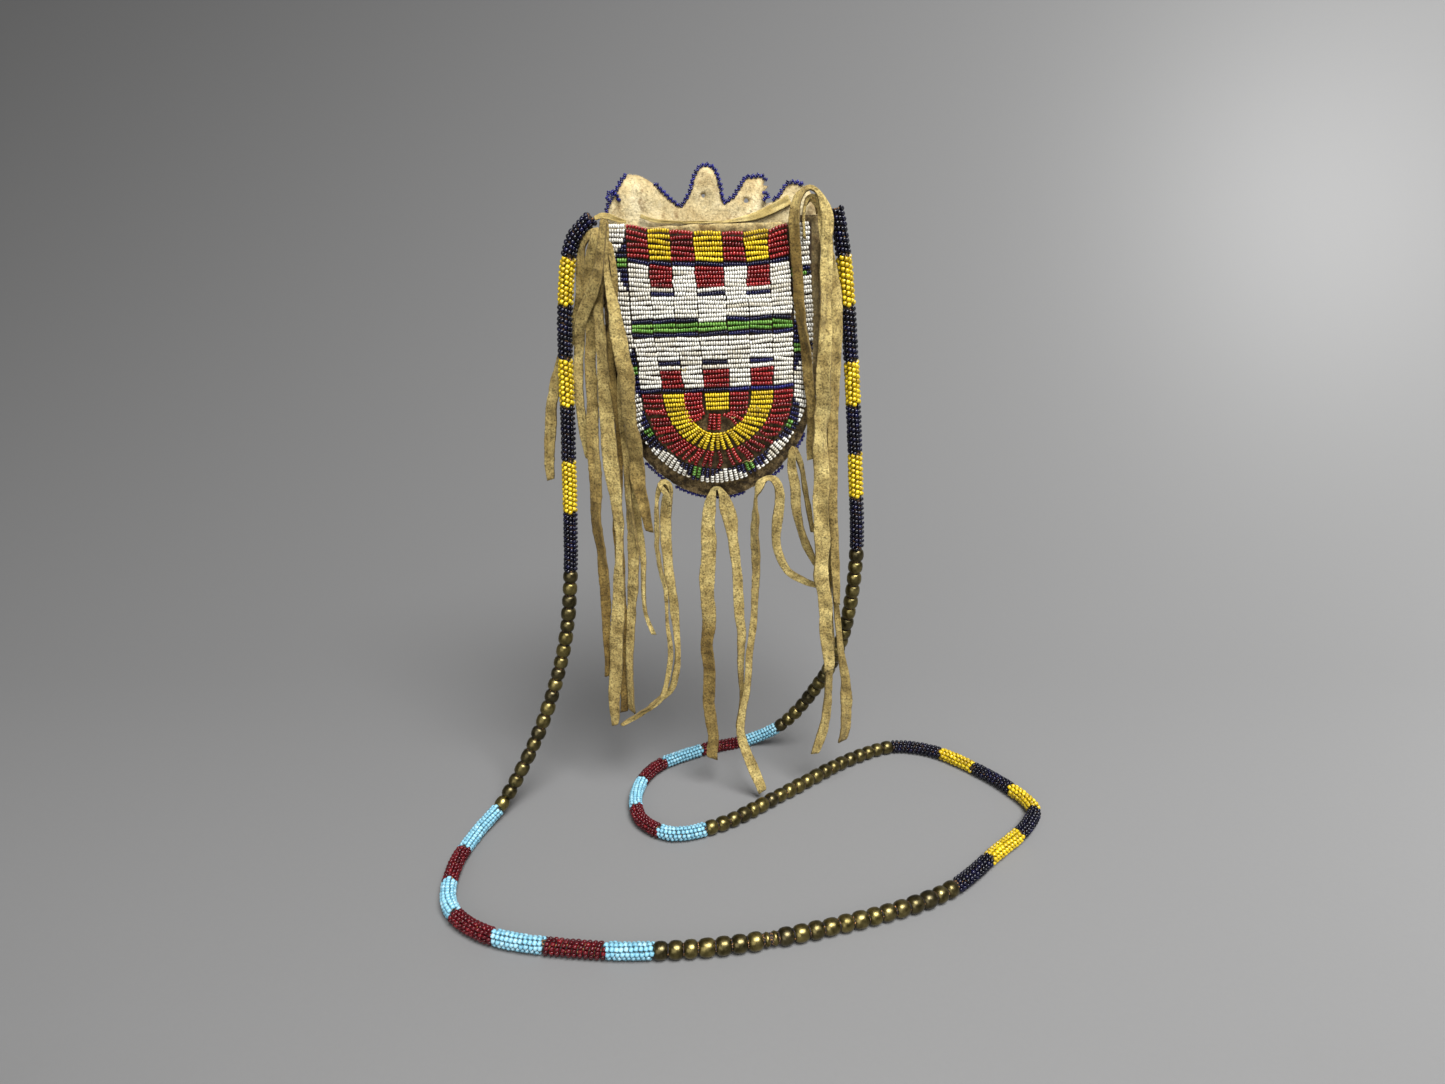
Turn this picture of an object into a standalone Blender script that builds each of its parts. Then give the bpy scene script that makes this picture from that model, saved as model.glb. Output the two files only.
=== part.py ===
"""Small beaded hide pouch that hangs by its mouth, with its fringe and its long beaded rope strap.

The origin is the point that holds the pouch up, in the middle of its mouth, and +Z is up.
The pouch faces -Y. The strap leaves both top corners, comes down beside the pouch and lies
in a loop on the surface FLOOR_DROP below the origin, mostly in front of the pouch.
"""

import math

import bmesh
import bpy
import numpy as np
from mathutils import Matrix, Vector

MM = 0.001
GAP = 0.3 * MM

# Pouch as a whole
LEAN = math.radians(2.1)
BULGE = 11.0 * MM
HIDE_THICKNESS = 1.2 * MM
SEAM_GAP = GAP
FLOOR_DROP = 265.0 * MM

# Bead rows
ROW_PITCH = 1.82 * MM
BEAD_DIAMETER = 1.9 * MM
ROW_VALLEY = 1.0 * MM
LANE_GAP = GAP
BEADS_TOP = -2.0 * MM
LANE_WIDTHS = tuple(width * MM for width in (9.0, 9.2, 9.5, 11.5, 9.0, 9.6, 8.5))
LANE_OFFSET = -0.05 * MM
BORDER_WIDTH = 8.8 * MM
BORDER_DEPTH = 7.0 * MM
RIM_WIDTH = 3.5 * MM
RIM_DEPTH = 7.0 * MM
BARE_TOP = 1.2 * MM
U_LANE_DEPTHS = {"fan": 8.4 * MM, "yellow": 8.5 * MM, "red": 8.5 * MM}
CENTRE_ROWS = 4
BORDER_SHOULDER_RISE = 12.0 * MM

# Colours of the rows in the vertical lanes, from the top down
OUTER_LANE = ("red",) * 6 + ("navy",) + ("white",) * 12 + ("navy", "green", "green", "navy")
OUTER_LANE += ("white",) * 11 + ("navy",)
INNER_LANE = ("yellow",) * 6 + ("navy",) + ("red",) * 5 + ("white", "navy") + ("white",) * 5
INNER_LANE += ("navy", "green", "green", "navy") + ("white",) * 5 + ("navy", "white")
INNER_LANE += ("red",) * 4 + ("navy",)

# Rows round the U lanes and the border, and the middles of the border's eight motifs
RED_ROWS = 39
YELLOW_ROWS = 27
INNER_RED_ROWS = 6
INNER_RED_SHARE = 0.36
FAN_ROWS = 4
FAN_SHARE = 0.12
BORDER_ROWS = 118
MOTIF_PLACES = (0.047, 0.222, 0.352, 0.469, 0.563, 0.667, 0.807, 0.933)
MOTIF_NAVY_ROWS = 4
MOTIF_INNER_SHARE = 0.56

# Scalloped top of the back panel, as a share of the half width and a height over the mouth
CORNER = ((-1.0, -6.0), (-0.965, 1.0), (-0.90, 5.2))
LOBES = (
    ((-0.90, 5.2), (-0.905, 7.8), (-0.86, 10.8), (-0.815, 13.2), (-0.78, 16.7), (-0.715, 19.1),
     (-0.65, 18.6), (-0.58, 17.4), (-0.50, 15.2), (-0.37, 10.8), (-0.245, 6.9)),
    ((-0.245, 6.9), (-0.19, 9.5), (-0.15, 14.4), (-0.12, 19.1), (-0.075, 21.6), (-0.015, 22.4),
     (0.04, 20.9), (0.08, 17.7), (0.10, 14.4), (0.128, 8.1)),
    ((0.128, 8.1), (0.22, 10.8), (0.27, 13.9), (0.315, 17.1), (0.36, 18.4), (0.44, 18.4),
     (0.505, 16.7), (0.52, 13.9), (0.513, 9.8)),
    ((0.513, 9.8), (0.58, 8.7), (0.615, 11.1), (0.66, 13.9), (0.70, 15.4), (0.75, 15.6),
     (0.82, 14.8), (0.90, 12.5), (0.96, 7.0), (1.0, -3.0)),
)
SMALL_HOLES = ((-0.05, 10.8, 0.7), (0.33, 8.9, 0.9))

# Edging strings of beads, sewn to the edge of the hide
EDGING_DIAMETER = 2.0 * MM
EDGING_STRETCHES = {
    "scallop_edging_left": ((0, 0, 6),),
    "scallop_edging_middle": ((0, 8, 10), (1, 0, 9), (2, 0, 5)),
    "scallop_edging_right": ((3, 1, 8),),
}
LOWER_EDGING_SPAN = (0.28, 0.79)

# Flat thongs
THONG_THICKNESS = 1.2 * MM
THONG_STEP = 8.0 * MM
THONG_EASE = 4.0 * MM
THONGS = {
    "bottom_thong_1": (
        (-43, -227, 5, 1.5), (-37, -223, 5, 2.5), (-29, -217, 5, 3), (-20, -202, 4, 3.6), (-19, -182, 4, 4),
        (-21, -161, 3, 4), (-24, -133, 2, 4), (-23.5, -114, 1.2, 3.4), (-20, -104.5, 0.9, 3),
        (-16.5, -113, 1.2, 3.2), (-17, -133, 1.2, 3.8), (-15.5, -161, 1.2, 3.8), (-13.5, -186, 1.2, 3.6),
        (-16, -206, 1.5, 3.2), (-27, -224, 1.5, 3)),
    "bottom_thong_2": (
        (0, -248, 1, 6.4), (-2, -207, 1, 6.6), (-3, -176, 1, 6.6), (-4, -145, 1, 6.4), (-3.4, -119, 1.2, 5),
        (1, -110.5, 0.9, 3), (5.5, -114, 1.4, 3.4), (10.5, -123, 1.4, 4), (12, -141, 1.2, 4.4),
        (13, -176, 1.2, 4.2), (14.5, -199, 1.2, 3.6), (14, -224, 1.2, 2.4), (13, -231, 1.2, 1.6)),
    "bottom_thong_3": (
        (25, -260, 11, 5.2), (20, -246, 8.5, 5), (15, -229, 6, 4.4), (17, -205, 4, 4.6),
        (20, -176, 2.5, 5), (21, -148, 2, 5), (19.5, -125, 1.4, 5), (21, -111, 1.2, 4.2),
        (25.3, -104.5, 0.9, 3), (29.8, -110, 1, 4), (30, -125, 0, 4.2), (30.5, -141, -1, 4),
        (36, -151, -2, 3.6), (44, -155.5, -3, 3.2), (50, -158, -3.5, 3)),
    "bottom_thong_4": (
        (49, -148, -1.2, 3.4), (43, -131, -0.8, 4.6), (38.5, -114, 0, 4.8), (35.2, -99, 1.0, 4),
        (36.2, -92.5, 0.9, 3), (40.2, -99, -0.2, 3), (44, -115, -2.2, 3.2), (46, -122, -3, 3), (48, -130, -3, 2.6)),
    "left_thong_1": (
        (-72, -108, -5.7, 5), (-72, -88, -5.7, 6), (-70.5, -74, -5.7, 6), (-65, -58, -5.7, 6), (-58.5, -43, -5.7, 6),
        (-53.5, -29, -3.6, 5.4), (-49.5, -14, 0.6, 4.4), (-45, -4, 1.8, 3.4), (-47, -15, 2.6, 4), (-48.6, -30, 0.6, 4.4),
        (-49.2, -43, -1, 4.2), (-51, -66, -0.8, 5), (-50.5, -99, 0.6, 5), (-52, -124, 0.8, 5), (-50, -144, 0.8, 5),
        (-49, -164, 0.8, 5), (-50, -195, 0.8, 5), (-49, -202, 0.8, 4)),
    "left_thong_2": (
        (-54.5, -98, -3.7, 4), (-57.2, -77, -3.7, 5.4), (-57.6, -60, -3.7, 5.4), (-56.3, -50, -3.7, 4.4),
        (-53.8, -41, 1, 4.4), (-51, -34.5, 3.8, 4.6), (-47.7, -27, 6.4, 4.8), (-43.4, -12, 6.6, 4.4),
        (-41.5, 1, 5.4, 3.4),
        (-39.5, -11, 4.4, 5), (-39.5, -22, 4.4, 6.4), (-38, -39, 4.2, 7.4), (-35.5, -59, 3.0, 7.8),
        (-33, -85, 3.0, 7.4), (-31.5, -106, 4.6, 6.6), (-29, -119, 6, 5.6), (-27, -129, 6, 4)),
    "left_thong_3": (
        (-46, -230, 2.5, 4), (-47, -222, 2.5, 5.6), (-44, -184, 2.5, 6), (-41.5, -149, 2.5, 6), (-42.5, -125, 2.5, 6),
        (-44, -101, 2.5, 6), (-44.7, -71, 2.5, 5.8), (-43.5, -36, 2.1, 4.8), (-42, -16, 1.1, 3.4),
        (-40.2, -8, 0.9, 2.8), (-38.4, -18, 0.9, 2.8), (-39, -36, 0.9, 2.8), (-41.6, -60, 0.9, 3),
        (-42, -100, 0.9, 3.2), (-41.8, -125, 0.9, 3.6), (-41.4, -150, 0.9, 4.6), (-41.5, -180, 0.9, 5),
        (-42, -222, 0.9, 5)),
    "left_thong_4": (
        (-39, -220, 2.5, 6), (-38, -195, 2.5, 6), (-35.4, -172, 2.5, 4.8), (-35.5, -150, 2.6, 3.6),
        (-36, -132, 2, 2.8), (-37.2, -110, 1.2, 2.4), (-38, -60, 0.9, 2.4), (-37.8, -50, 0.9, 2.2), (-36, -45, 0.9, 2.2),
        (-34.6, -50, 0.9, 2.2), (-34.4, -60, 0.9, 2.4), (-34.4, -110, 1.2, 2.4), (-33, -130, 1.2, 2.4),
        (-31.3, -141, 1.2, 2.4), (-31, -154, 1.2, 2.2), (-30, -172, 1.2, 1.8), (-27, -181, 1.2, 2.4)),
    "right_thong_1": (
        (44, -97, 2.6, 5), (43.5, -80, 2.6, 6), (41.5, -66, 2.0, 6.4), (39.5, -48, 1.4, 6.4), (36, -23, 1.0, 6),
        (34, -8, 1.6, 5.2), (33, 7, 4.6, 4.2), (37, 13.6, 5.5, 3.4), (41, 13.8, 6, 3.4), (45, 11, 6.6, 4),
        (46.8, 5, 7, 5), (47, -10, 7, 6.8), (48, -30, 7, 7.2), (48, -87, 7, 7), (50, -113, 7, 7),
        (51, -139, 7, 7), (52, -162, 7, 7), (56, -197, 7, 6.4)),
    "right_thong_2": (
        (38.5, -8, 1.2, 2), (38, 2, 2, 2), (38.6, 7, 3, 2), (40.8, 8.8, 4, 2), (43, 6.5, 4.4, 2.4), (45, 0, 4.6, 3.4),
        (48.5, -12, 4.8, 5), (52, -25, 5, 6), (54, -38, 5, 6.4), (54.5, -54, 5, 6.2), (54, -82, 5, 5.6),
        (55, -124, 5, 5), (58, -163, 5, 4)),
    "right_thong_3": (
        (65, -237, 2.9, 6), (66, -222, 2.9, 6.4), (64.5, -208, 2.9, 5.4), (60.5, -190, 2.9, 4), (57, -163, 2.9, 3),
        (52.5, -120, 2.9, 3), (50, -60, 2.9, 3), (48.5, -12, 2.9, 3), (47.5, -4, 2.2, 2.6), (48.6, -12, 1.2, 3),
        (49.5, -60, 1.2, 3), (51.5, -120, 1.2, 3), (55.5, -165, 1.2, 3.6), (57, -199, 1.2, 4.4),
        (57, -217, 1.2, 5), (54.5, -236, 1.2, 5.2), (51, -246, 1.2, 5)),
}
MOUTH_THONG = ((-27, 2.6, 3), (-18, 1.4, 3), (-8, 0.6, 3), (3, 0.4, 3), (14, 1.6, 3), (22, 3.6, 3), (28.5, 7.5, 3))

# Strap
SEED_ROPE_DIAMETER = 6.4 * MM
BRASS_PITCH = 6.1 * MM
BRASS_DIAMETER = 7.0 * MM
STRAP_SECTIONS = (
    ("rope_a1", 155.4 * MM), ("brass_string_1", 20 * BRASS_PITCH),
    ("rope_c1", 152.0 * MM), ("brass_string_2", 21 * BRASS_PITCH),
    ("rope_e", 159.0 * MM), ("brass_string_3", 20 * BRASS_PITCH),
    ("rope_c2", 154.0 * MM), ("brass_string_4", 21 * BRASS_PITCH),
    ("rope_a2", None),
)
TUBE_STEP = 15.0 * MM
PATH_STEP = 0.5 * MM
END_RUN_STEPS = 3
LYING = -(FLOOR_DROP - BRASS_DIAMETER / 2) / MM
STRAP_ROUTE = (
    (-47.2, -2, 2.2), (-55.5, -2, -7), (-60, -2, -32), (-62, -2, -90), (-64.7, -2, -153),
    (-69.5, -4, -188), (-81.5, -12, -226), (-98, -24.5, -257), (-106, -42, LYING),
    (-109, -65, LYING), (-103.5, -88, LYING), (-86, -102, LYING), (-44, -110, LYING),
    (0, -109, LYING), (50, -98, LYING), (97, -80, LYING), (124, -57.5, LYING),
    (147, -36, LYING), (153.5, -24, LYING), (148.5, -9, LYING), (136, 9, LYING),
    (119, 25, LYING), (99, 30, LYING), (74, 18.5, LYING), (36, -12, LYING), (5, -36, LYING),
    (-17, -43, LYING), (-32, -33, LYING), (-36.5, -12, LYING), (-29, 10, LYING),
    (-6, 26.5, LYING), (20, 37, LYING), (38, 34, -250), (56, 27, -222), (64, 9, -188),
    (67, -1, -145), (64.5, -2, -102), (60.5, -2.6, -57), (55, -2.6, -12), (51.5, -2.6, 4),
)

COLOURS = {
    "hide_pale": (0.60, 0.47, 0.27), "hide_brown": (0.16, 0.10, 0.045),
    "fringe_hide": (0.44, 0.33, 0.15), "white": (0.80, 0.77, 0.68), "red": (0.30, 0.012, 0.018),
    "yellow": (0.72, 0.46, 0.015), "navy": (0.006, 0.006, 0.045), "green": (0.08, 0.27, 0.035),
    "edging_blue": (0.012, 0.012, 0.20), "light_blue": (0.22, 0.60, 0.80),
    "dark_red": (0.10, 0.006, 0.012), "aged_brass": (0.22, 0.14, 0.035),
}
GLASS_ROUGHNESS = 0.25
HIDE_ROUGHNESS = 0.9
BRASS_ROUGHNESS = 0.35


def clear_scene():
    for old in list(bpy.data.objects):
        bpy.data.objects.remove(old, do_unlink=True)


def new_collection(name):
    collection = bpy.data.collections.new(name)
    bpy.context.scene.collection.children.link(collection)
    return collection


clear_scene()
PARTS = new_collection("beaded_pouch")
CUTTERS = new_collection("cutters")
POUCH = bpy.data.objects.new("pouch_frame", None)
POUCH.rotation_euler = (0.0, -LEAN, 0.0)
PARTS.objects.link(POUCH)


def material(name):
    found = bpy.data.materials.get(name)
    if found:
        return found
    made = bpy.data.materials.new(name)
    made.use_nodes = True
    shader = made.node_tree.nodes["Principled BSDF"]
    shader.inputs["Base Color"].default_value = (*COLOURS[name], 1.0)
    metal = name == "aged_brass"
    hide = name in ("hide_pale", "hide_brown", "fringe_hide")
    shader.inputs["Metallic"].default_value = 1.0 if metal else 0.0
    roughness = BRASS_ROUGHNESS if metal else HIDE_ROUGHNESS if hide else GLASS_ROUGHNESS
    shader.inputs["Roughness"].default_value = roughness
    return made


def place(name, data, colours, parent=POUCH):
    """Link a mesh or curve as one named part, with a slot for each of its colours."""
    part = bpy.data.objects.new(name, data)
    PARTS.objects.link(part)
    part.parent = parent
    for colour in colours:
        part.data.materials.append(material(colour))
    return part


# Shape of the pouch's front, on which everything at the front is laid

LANE_EDGES = [LANE_OFFSET - sum(LANE_WIDTHS) / 2]
for lane_width in LANE_WIDTHS:
    LANE_EDGES.append(LANE_EDGES[-1] + lane_width)
LANES_BOTTOM = BEADS_TOP - len(OUTER_LANE) * ROW_PITCH
FAN_INNER_BOTTOM = LANES_BOTTOM - (CENTRE_ROWS + 1) * ROW_PITCH
FAN_BOTTOM = FAN_INNER_BOTTOM - U_LANE_DEPTHS["fan"]
YELLOW_BOTTOM = FAN_BOTTOM - U_LANE_DEPTHS["yellow"]
RED_BOTTOM = YELLOW_BOTTOM - U_LANE_DEPTHS["red"]
BORDER_BOTTOM = RED_BOTTOM - BORDER_DEPTH
HIDE_BOTTOM = BORDER_BOTTOM - RIM_DEPTH
LANES_HALF = sum(LANE_WIDTHS) / 2
BORDER_HALF = LANES_HALF + BORDER_WIDTH
HIDE_HALF = BORDER_HALF + RIM_WIDTH
SHOULDER = LANES_BOTTOM + BORDER_SHOULDER_RISE
FRONT_TOP = BEADS_TOP + BARE_TOP


def hide_depth(u, w):
    """How far in front of the seam the outer face of the front hide stands."""
    down = min(w - SHOULDER, 0.0) / (SHOULDER - HIDE_BOTTOM)
    out = min(1.0, (u / HIDE_HALF) ** 2 + down ** 2)
    return SEAM_GAP + HIDE_THICKNESS + BULGE * (1.0 - out)


def on_front(u, w, height=0.0):
    return Vector((u, -(hide_depth(u, w) + height), w))


def resample(points, count):
    """The given number of points at equal steps along a line of points."""
    line = np.array(points, float)
    run = np.concatenate(([0.0], np.cumsum(np.linalg.norm(np.diff(line, axis=0), axis=1))))
    places = np.linspace(0.0, run[-1], count)
    return [tuple(float(np.interp(p, run, line[:, k])) for k in range(line.shape[1])) for p in places]


def u_curve(half, top, shoulder, bottom, count, centre=0.0):
    """A U: down the left side, round a half ellipse and up the right side, at equal steps."""
    line = [(centre - half, top)]
    for step in range(121):
        turn = math.pi * step / 120
        line.append((centre - half * math.cos(turn), shoulder - (shoulder - bottom) * math.sin(turn)))
    line.append((centre + half, top))
    return resample(line, count)


# Hide panels

def back_outline():
    """Outline of the back panel: the scalloped top from left to right, then round the U."""
    top = [(share * HIDE_HALF, height * MM) for share, height in CORNER[:-1]]
    for lobe in LOBES:
        top += [(share * HIDE_HALF, height * MM) for share, height in lobe[:-1]]
    last_share, last_height = LOBES[-1][-1]
    top.append((last_share * HIDE_HALF, last_height * MM))
    around = u_curve(HIDE_HALF, SHOULDER, SHOULDER, HIDE_BOTTOM, 29)
    return top + around[::-1]


def back_panel():
    curve = bpy.data.curves.new("back_outline", "CURVE")
    curve.dimensions = "2D"
    curve.fill_mode = "BOTH"
    curve.extrude = HIDE_THICKNESS / 2
    outline = back_outline()
    spline = curve.splines.new("POLY")
    spline.points.add(len(outline) - 1)
    for point, (u, w) in zip(spline.points, outline):
        point.co = (u, w, 0.0, 1.0)
    spline.use_cyclic_u = True
    flat = bpy.data.objects.new("back_flat", curve)
    PARTS.objects.link(flat)
    bpy.context.view_layer.update()
    mesh = bpy.data.meshes.new_from_object(flat.evaluated_get(bpy.context.evaluated_depsgraph_get()))
    bpy.data.objects.remove(flat)
    mesh.transform(Matrix.Rotation(math.pi / 2, 4, "X"))
    mesh.transform(Matrix.Translation((0.0, HIDE_THICKNESS / 2, 0.0)))
    shape = bmesh.new()
    shape.from_mesh(mesh)
    bmesh.ops.remove_doubles(shape, verts=shape.verts, dist=0.00001)
    bmesh.ops.recalc_face_normals(shape, faces=shape.faces)
    shape.to_mesh(mesh)
    shape.free()
    panel = place("back_panel", mesh, ("hide_pale",))
    for number, (share, height, radius) in enumerate(SMALL_HOLES):
        bpy.ops.mesh.primitive_cylinder_add(
            vertices=10, radius=radius * MM, depth=6 * HIDE_THICKNESS,
            location=(share * HIDE_HALF, 0.0, height * MM), rotation=(math.pi / 2, 0.0, 0.0))
        cutter = bpy.context.object
        cutter.name = f"worn_hole_cutter_{number + 1}"
        for owner in list(cutter.users_collection):
            owner.objects.unlink(cutter)
        CUTTERS.objects.link(cutter)
        cutter.parent = POUCH
        cutter.hide_render = True
        cutter.display_type = "WIRE"
        cut = panel.modifiers.new(f"worn_hole_{number + 1}", "BOOLEAN")
        cut.operation = "DIFFERENCE"
        cut.solver = "EXACT"
        cut.object = cutter
    return panel


def front_panel():
    """The bulged front hide: a sheet that stands off the back panel and meets it at the rim."""
    across = 16
    straight = 6
    round_rows = 8
    levels = [(FRONT_TOP + (SHOULDER - FRONT_TOP) * k / straight, HIDE_HALF) for k in range(straight)]
    for k in range(round_rows + 1):
        turn = math.pi / 2 * k / round_rows
        levels.append((SHOULDER - (SHOULDER - HIDE_BOTTOM) * math.sin(turn), HIDE_HALF * math.cos(turn)))
    sheet = bmesh.new()
    rows = []
    for w, half in levels:
        rows.append([sheet.verts.new(on_front(half * (2 * k / across - 1), w)) for k in range(across + 1)])
    for upper, lower in zip(rows, rows[1:]):
        for k in range(across):
            sheet.faces.new((upper[k], lower[k], lower[k + 1], upper[k + 1]))
    bmesh.ops.remove_doubles(sheet, verts=sheet.verts, dist=0.00001)
    mesh = bpy.data.meshes.new("front_panel")
    sheet.to_mesh(mesh)
    sheet.free()
    mesh.shade_smooth()
    panel = place("front_panel", mesh, ("hide_brown",))
    shell = panel.modifiers.new("hide_thickness", "SOLIDIFY")
    shell.thickness = HIDE_THICKNESS
    shell.offset = -1.0
    return panel


# Beadwork

def bead_lane(name, left, right, colour_of, columns=(0.0, 1.0)):
    """One lane of bead rows between two lines, each row a ridge across the lane.

    left and right hold one point more than there are rows. columns are the shares of the
    lane's width where its colours may change, and colour_of(row, column) names a colour.
    """
    rows = len(left) - 1
    heights = (GAP + 0.1 * MM, GAP + ROW_VALLEY, GAP + BEAD_DIAMETER)

    def across(a, b, height):
        return [on_front(a[0] + (b[0] - a[0]) * c, a[1] + (b[1] - a[1]) * c, height) for c in columns]

    def middle(a, b):
        return ((a[0] + b[0]) / 2, (a[1] + b[1]) / 2)

    shape = bmesh.new()
    base = [[shape.verts.new(p) for p in across(left[k], right[k], heights[0])] for k in range(rows + 1)]
    edge = [[shape.verts.new(p) for p in across(left[k], right[k], heights[1])] for k in range(rows + 1)]
    crest = []
    for k in range(rows):
        ends = middle(left[k], left[k + 1]), middle(right[k], right[k + 1])
        crest.append([shape.verts.new(p) for p in across(*ends, heights[2])])
    names = []
    for k in range(rows):
        for c in range(len(columns) - 1):
            colour = colour_of(k, c)
            if colour not in names:
                names.append(colour)
            faces = (
                (edge[k][c], crest[k][c], crest[k][c + 1], edge[k][c + 1]),
                (crest[k][c], edge[k + 1][c], edge[k + 1][c + 1], crest[k][c + 1]),
                (base[k][c], base[k][c + 1], base[k + 1][c + 1], base[k + 1][c]),
            )
            for corners in faces:
                shape.faces.new(corners).material_index = names.index(colour)
        for side in (0, -1):
            wall = (base[k][side], base[k + 1][side], edge[k + 1][side], crest[k][side], edge[k][side])
            shape.faces.new(wall).material_index = names.index(colour_of(k, 0 if side == 0 else -1))
    for end, row in ((0, 0), (-1, rows - 1)):
        for c in range(len(columns) - 1):
            corners = (base[end][c], edge[end][c], edge[end][c + 1], base[end][c + 1])
            shape.faces.new(corners).material_index = names.index(colour_of(row, c))
    bmesh.ops.recalc_face_normals(shape, faces=shape.faces)
    mesh = bpy.data.meshes.new(name)
    shape.to_mesh(mesh)
    shape.free()
    return place(name, mesh, names)


def straight_line(u, top, bottom, rows):
    return [(u, top + (bottom - top) * k / rows) for k in range(rows + 1)]


def vertical_lanes():
    for number in range(len(LANE_WIDTHS)):
        colours = INNER_LANE if number % 2 else OUTER_LANE
        rows = len(colours)
        inset = LANE_GAP / 2
        left = straight_line(LANE_EDGES[number] + inset, BEADS_TOP, LANES_BOTTOM, rows)
        right = straight_line(LANE_EDGES[number + 1] - inset, BEADS_TOP, LANES_BOTTOM, rows)
        bead_lane(f"lane_{number + 1}", left, right, lambda row, column, c=colours: c[row])


def part_of(line, start, end, rows):
    """Points of the stretch of a line between two shares of its length."""
    fine = resample(line, 401)
    return resample(fine[round(start * 400):round(end * 400) + 1], rows + 1)


def u_lane(name, inner, outer, rows, colour, span=(0.0, 1.0)):
    """A lane round a U below the vertical lanes, between two (left, right, bottom) curves."""
    top = LANES_BOTTOM - LANE_GAP
    lines = []
    for (left, right, bottom), inset in ((outer, -LANE_GAP / 2), (inner, LANE_GAP / 2)):
        half = (right - left) / 2 + inset
        line = u_curve(half, top, top, bottom - inset, 241, (left + right) / 2)
        lines.append(part_of(line, span[0], span[1], rows))
    bead_lane(name, lines[0], lines[1], lambda row, column: colour)


def u_lanes():
    edges = LANE_EDGES
    centre = (edges[3], edges[4], FAN_INNER_BOTTOM)
    fan = (edges[2], edges[5], FAN_BOTTOM)
    yellow = (edges[1], edges[6], YELLOW_BOTTOM)
    red = (edges[0], edges[7], RED_BOTTOM)
    u_lane("red_u_lane", yellow, red, RED_ROWS, "red")
    u_lane("yellow_u_lane", fan, yellow, YELLOW_ROWS, "yellow")
    u_lane("inner_red_left", centre, fan, INNER_RED_ROWS, "red", (0.0, INNER_RED_SHARE))
    u_lane("inner_red_right", centre, fan, INNER_RED_ROWS, "red", (1.0 - INNER_RED_SHARE, 1.0))
    u_lane("red_fan", centre, fan, FAN_ROWS, "red", (0.5 - FAN_SHARE / 2, 0.5 + FAN_SHARE / 2))
    top = LANES_BOTTOM - LANE_GAP
    middle, half = (edges[3] + edges[4]) / 2, (edges[4] - edges[3]) / 2
    sides = []
    for side in (-1, 1):
        line = []
        for k in range(CENTRE_ROWS + 1):
            taper = math.sqrt(1.0 - (k * ROW_PITCH / (top - FAN_INNER_BOTTOM)) ** 2)
            line.append((middle + side * (half * taper - LANE_GAP), top - k * ROW_PITCH))
        sides.append(line)
    bead_lane("centre_yellow_rows", sides[0], sides[1], lambda row, column: "yellow")


def border_colour(row, column):
    """White, with a green pair of rows at each motif between two stepped navy triangles."""
    for share in MOTIF_PLACES:
        distance = row - round(share * BORDER_ROWS)
        if distance in (0, 1):
            return "navy" if column == 0 else "green"
        if -MOTIF_NAVY_ROWS <= distance <= 1 + MOTIF_NAVY_ROWS and column != 0:
            return "navy"
    return "white"


def border_lane():
    inset = LANE_GAP / 2
    outer = u_curve(BORDER_HALF, BEADS_TOP, SHOULDER, BORDER_BOTTOM, BORDER_ROWS + 1)
    inner = u_curve(LANES_HALF + inset, BEADS_TOP, LANES_BOTTOM, RED_BOTTOM - inset,
                    BORDER_ROWS + 1, LANE_OFFSET)
    bead_lane("border_lane", outer, inner, border_colour, (0.0, 1.0 - MOTIF_INNER_SHARE, 1.0))


# Strings, thongs and the strap

def smooth_path(points, step):
    """Points at equal steps along a smooth curve through the given points."""
    knots = [np.array(p, float) for p in points]
    times = [0.0]
    for a, b in zip(knots, knots[1:]):
        times.append(times[-1] + np.linalg.norm(b - a) ** 0.5)
    slopes = []
    last = len(knots) - 1
    for k in range(last + 1):
        before, after = max(k - 1, 0), min(k + 1, last)
        if 0 < k < last:
            early = (knots[k] - knots[before]) / (times[k] - times[before])
            late = (knots[after] - knots[k]) / (times[after] - times[k])
            share = (times[k] - times[before]) / (times[after] - times[before])
            slopes.append(early * (1 - share) + late * share)
        else:
            slopes.append((knots[after] - knots[before]) / (times[after] - times[before]))
    fine = []
    for k in range(last):
        span = times[k + 1] - times[k]
        for part in range(24):
            t = part / 24
            fine.append((2 * t ** 3 - 3 * t ** 2 + 1) * knots[k] + (t ** 3 - 2 * t ** 2 + t) * span * slopes[k]
                        + (3 * t ** 2 - 2 * t ** 3) * knots[k + 1] + (t ** 3 - t ** 2) * span * slopes[k + 1])
    fine.append(knots[-1])
    length = float(sum(np.linalg.norm(b - a) for a, b in zip(fine, fine[1:])))
    return resample(fine, max(3, round(length / step) + 1))


def tube(name, points, diameter, colour, parent=POUCH, resolution=2):
    curve = bpy.data.curves.new(name, "CURVE")
    curve.dimensions = "3D"
    curve.bevel_depth = diameter / 2
    curve.bevel_resolution = resolution
    curve.use_fill_caps = True
    curve.render_resolution_u = 0
    spline = curve.splines.new("POLY")
    spline.points.add(len(points) - 1)
    for point, place_of in zip(spline.points, points):
        point.co = (*place_of, 1.0)
    return place(name, curve, (colour,), parent)


def beside_edge(line, distance):
    """A line of (u, w) points moved to its left by a distance, with mitred corners."""
    normals = []
    for (u1, w1), (u2, w2) in zip(line, line[1:]):
        along = Vector((u2 - u1, w2 - w1)).normalized()
        normals.append(Vector((-along.y, along.x)))
    moved = []
    for k, (u, w) in enumerate(line):
        before, after = normals[max(k - 1, 0)], normals[min(k, len(normals) - 1)]
        mitre = (before + after) / max(0.4, 1.0 + before.dot(after))
        moved.append((u + mitre.x * distance, w + mitre.y * distance))
    return moved


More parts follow.
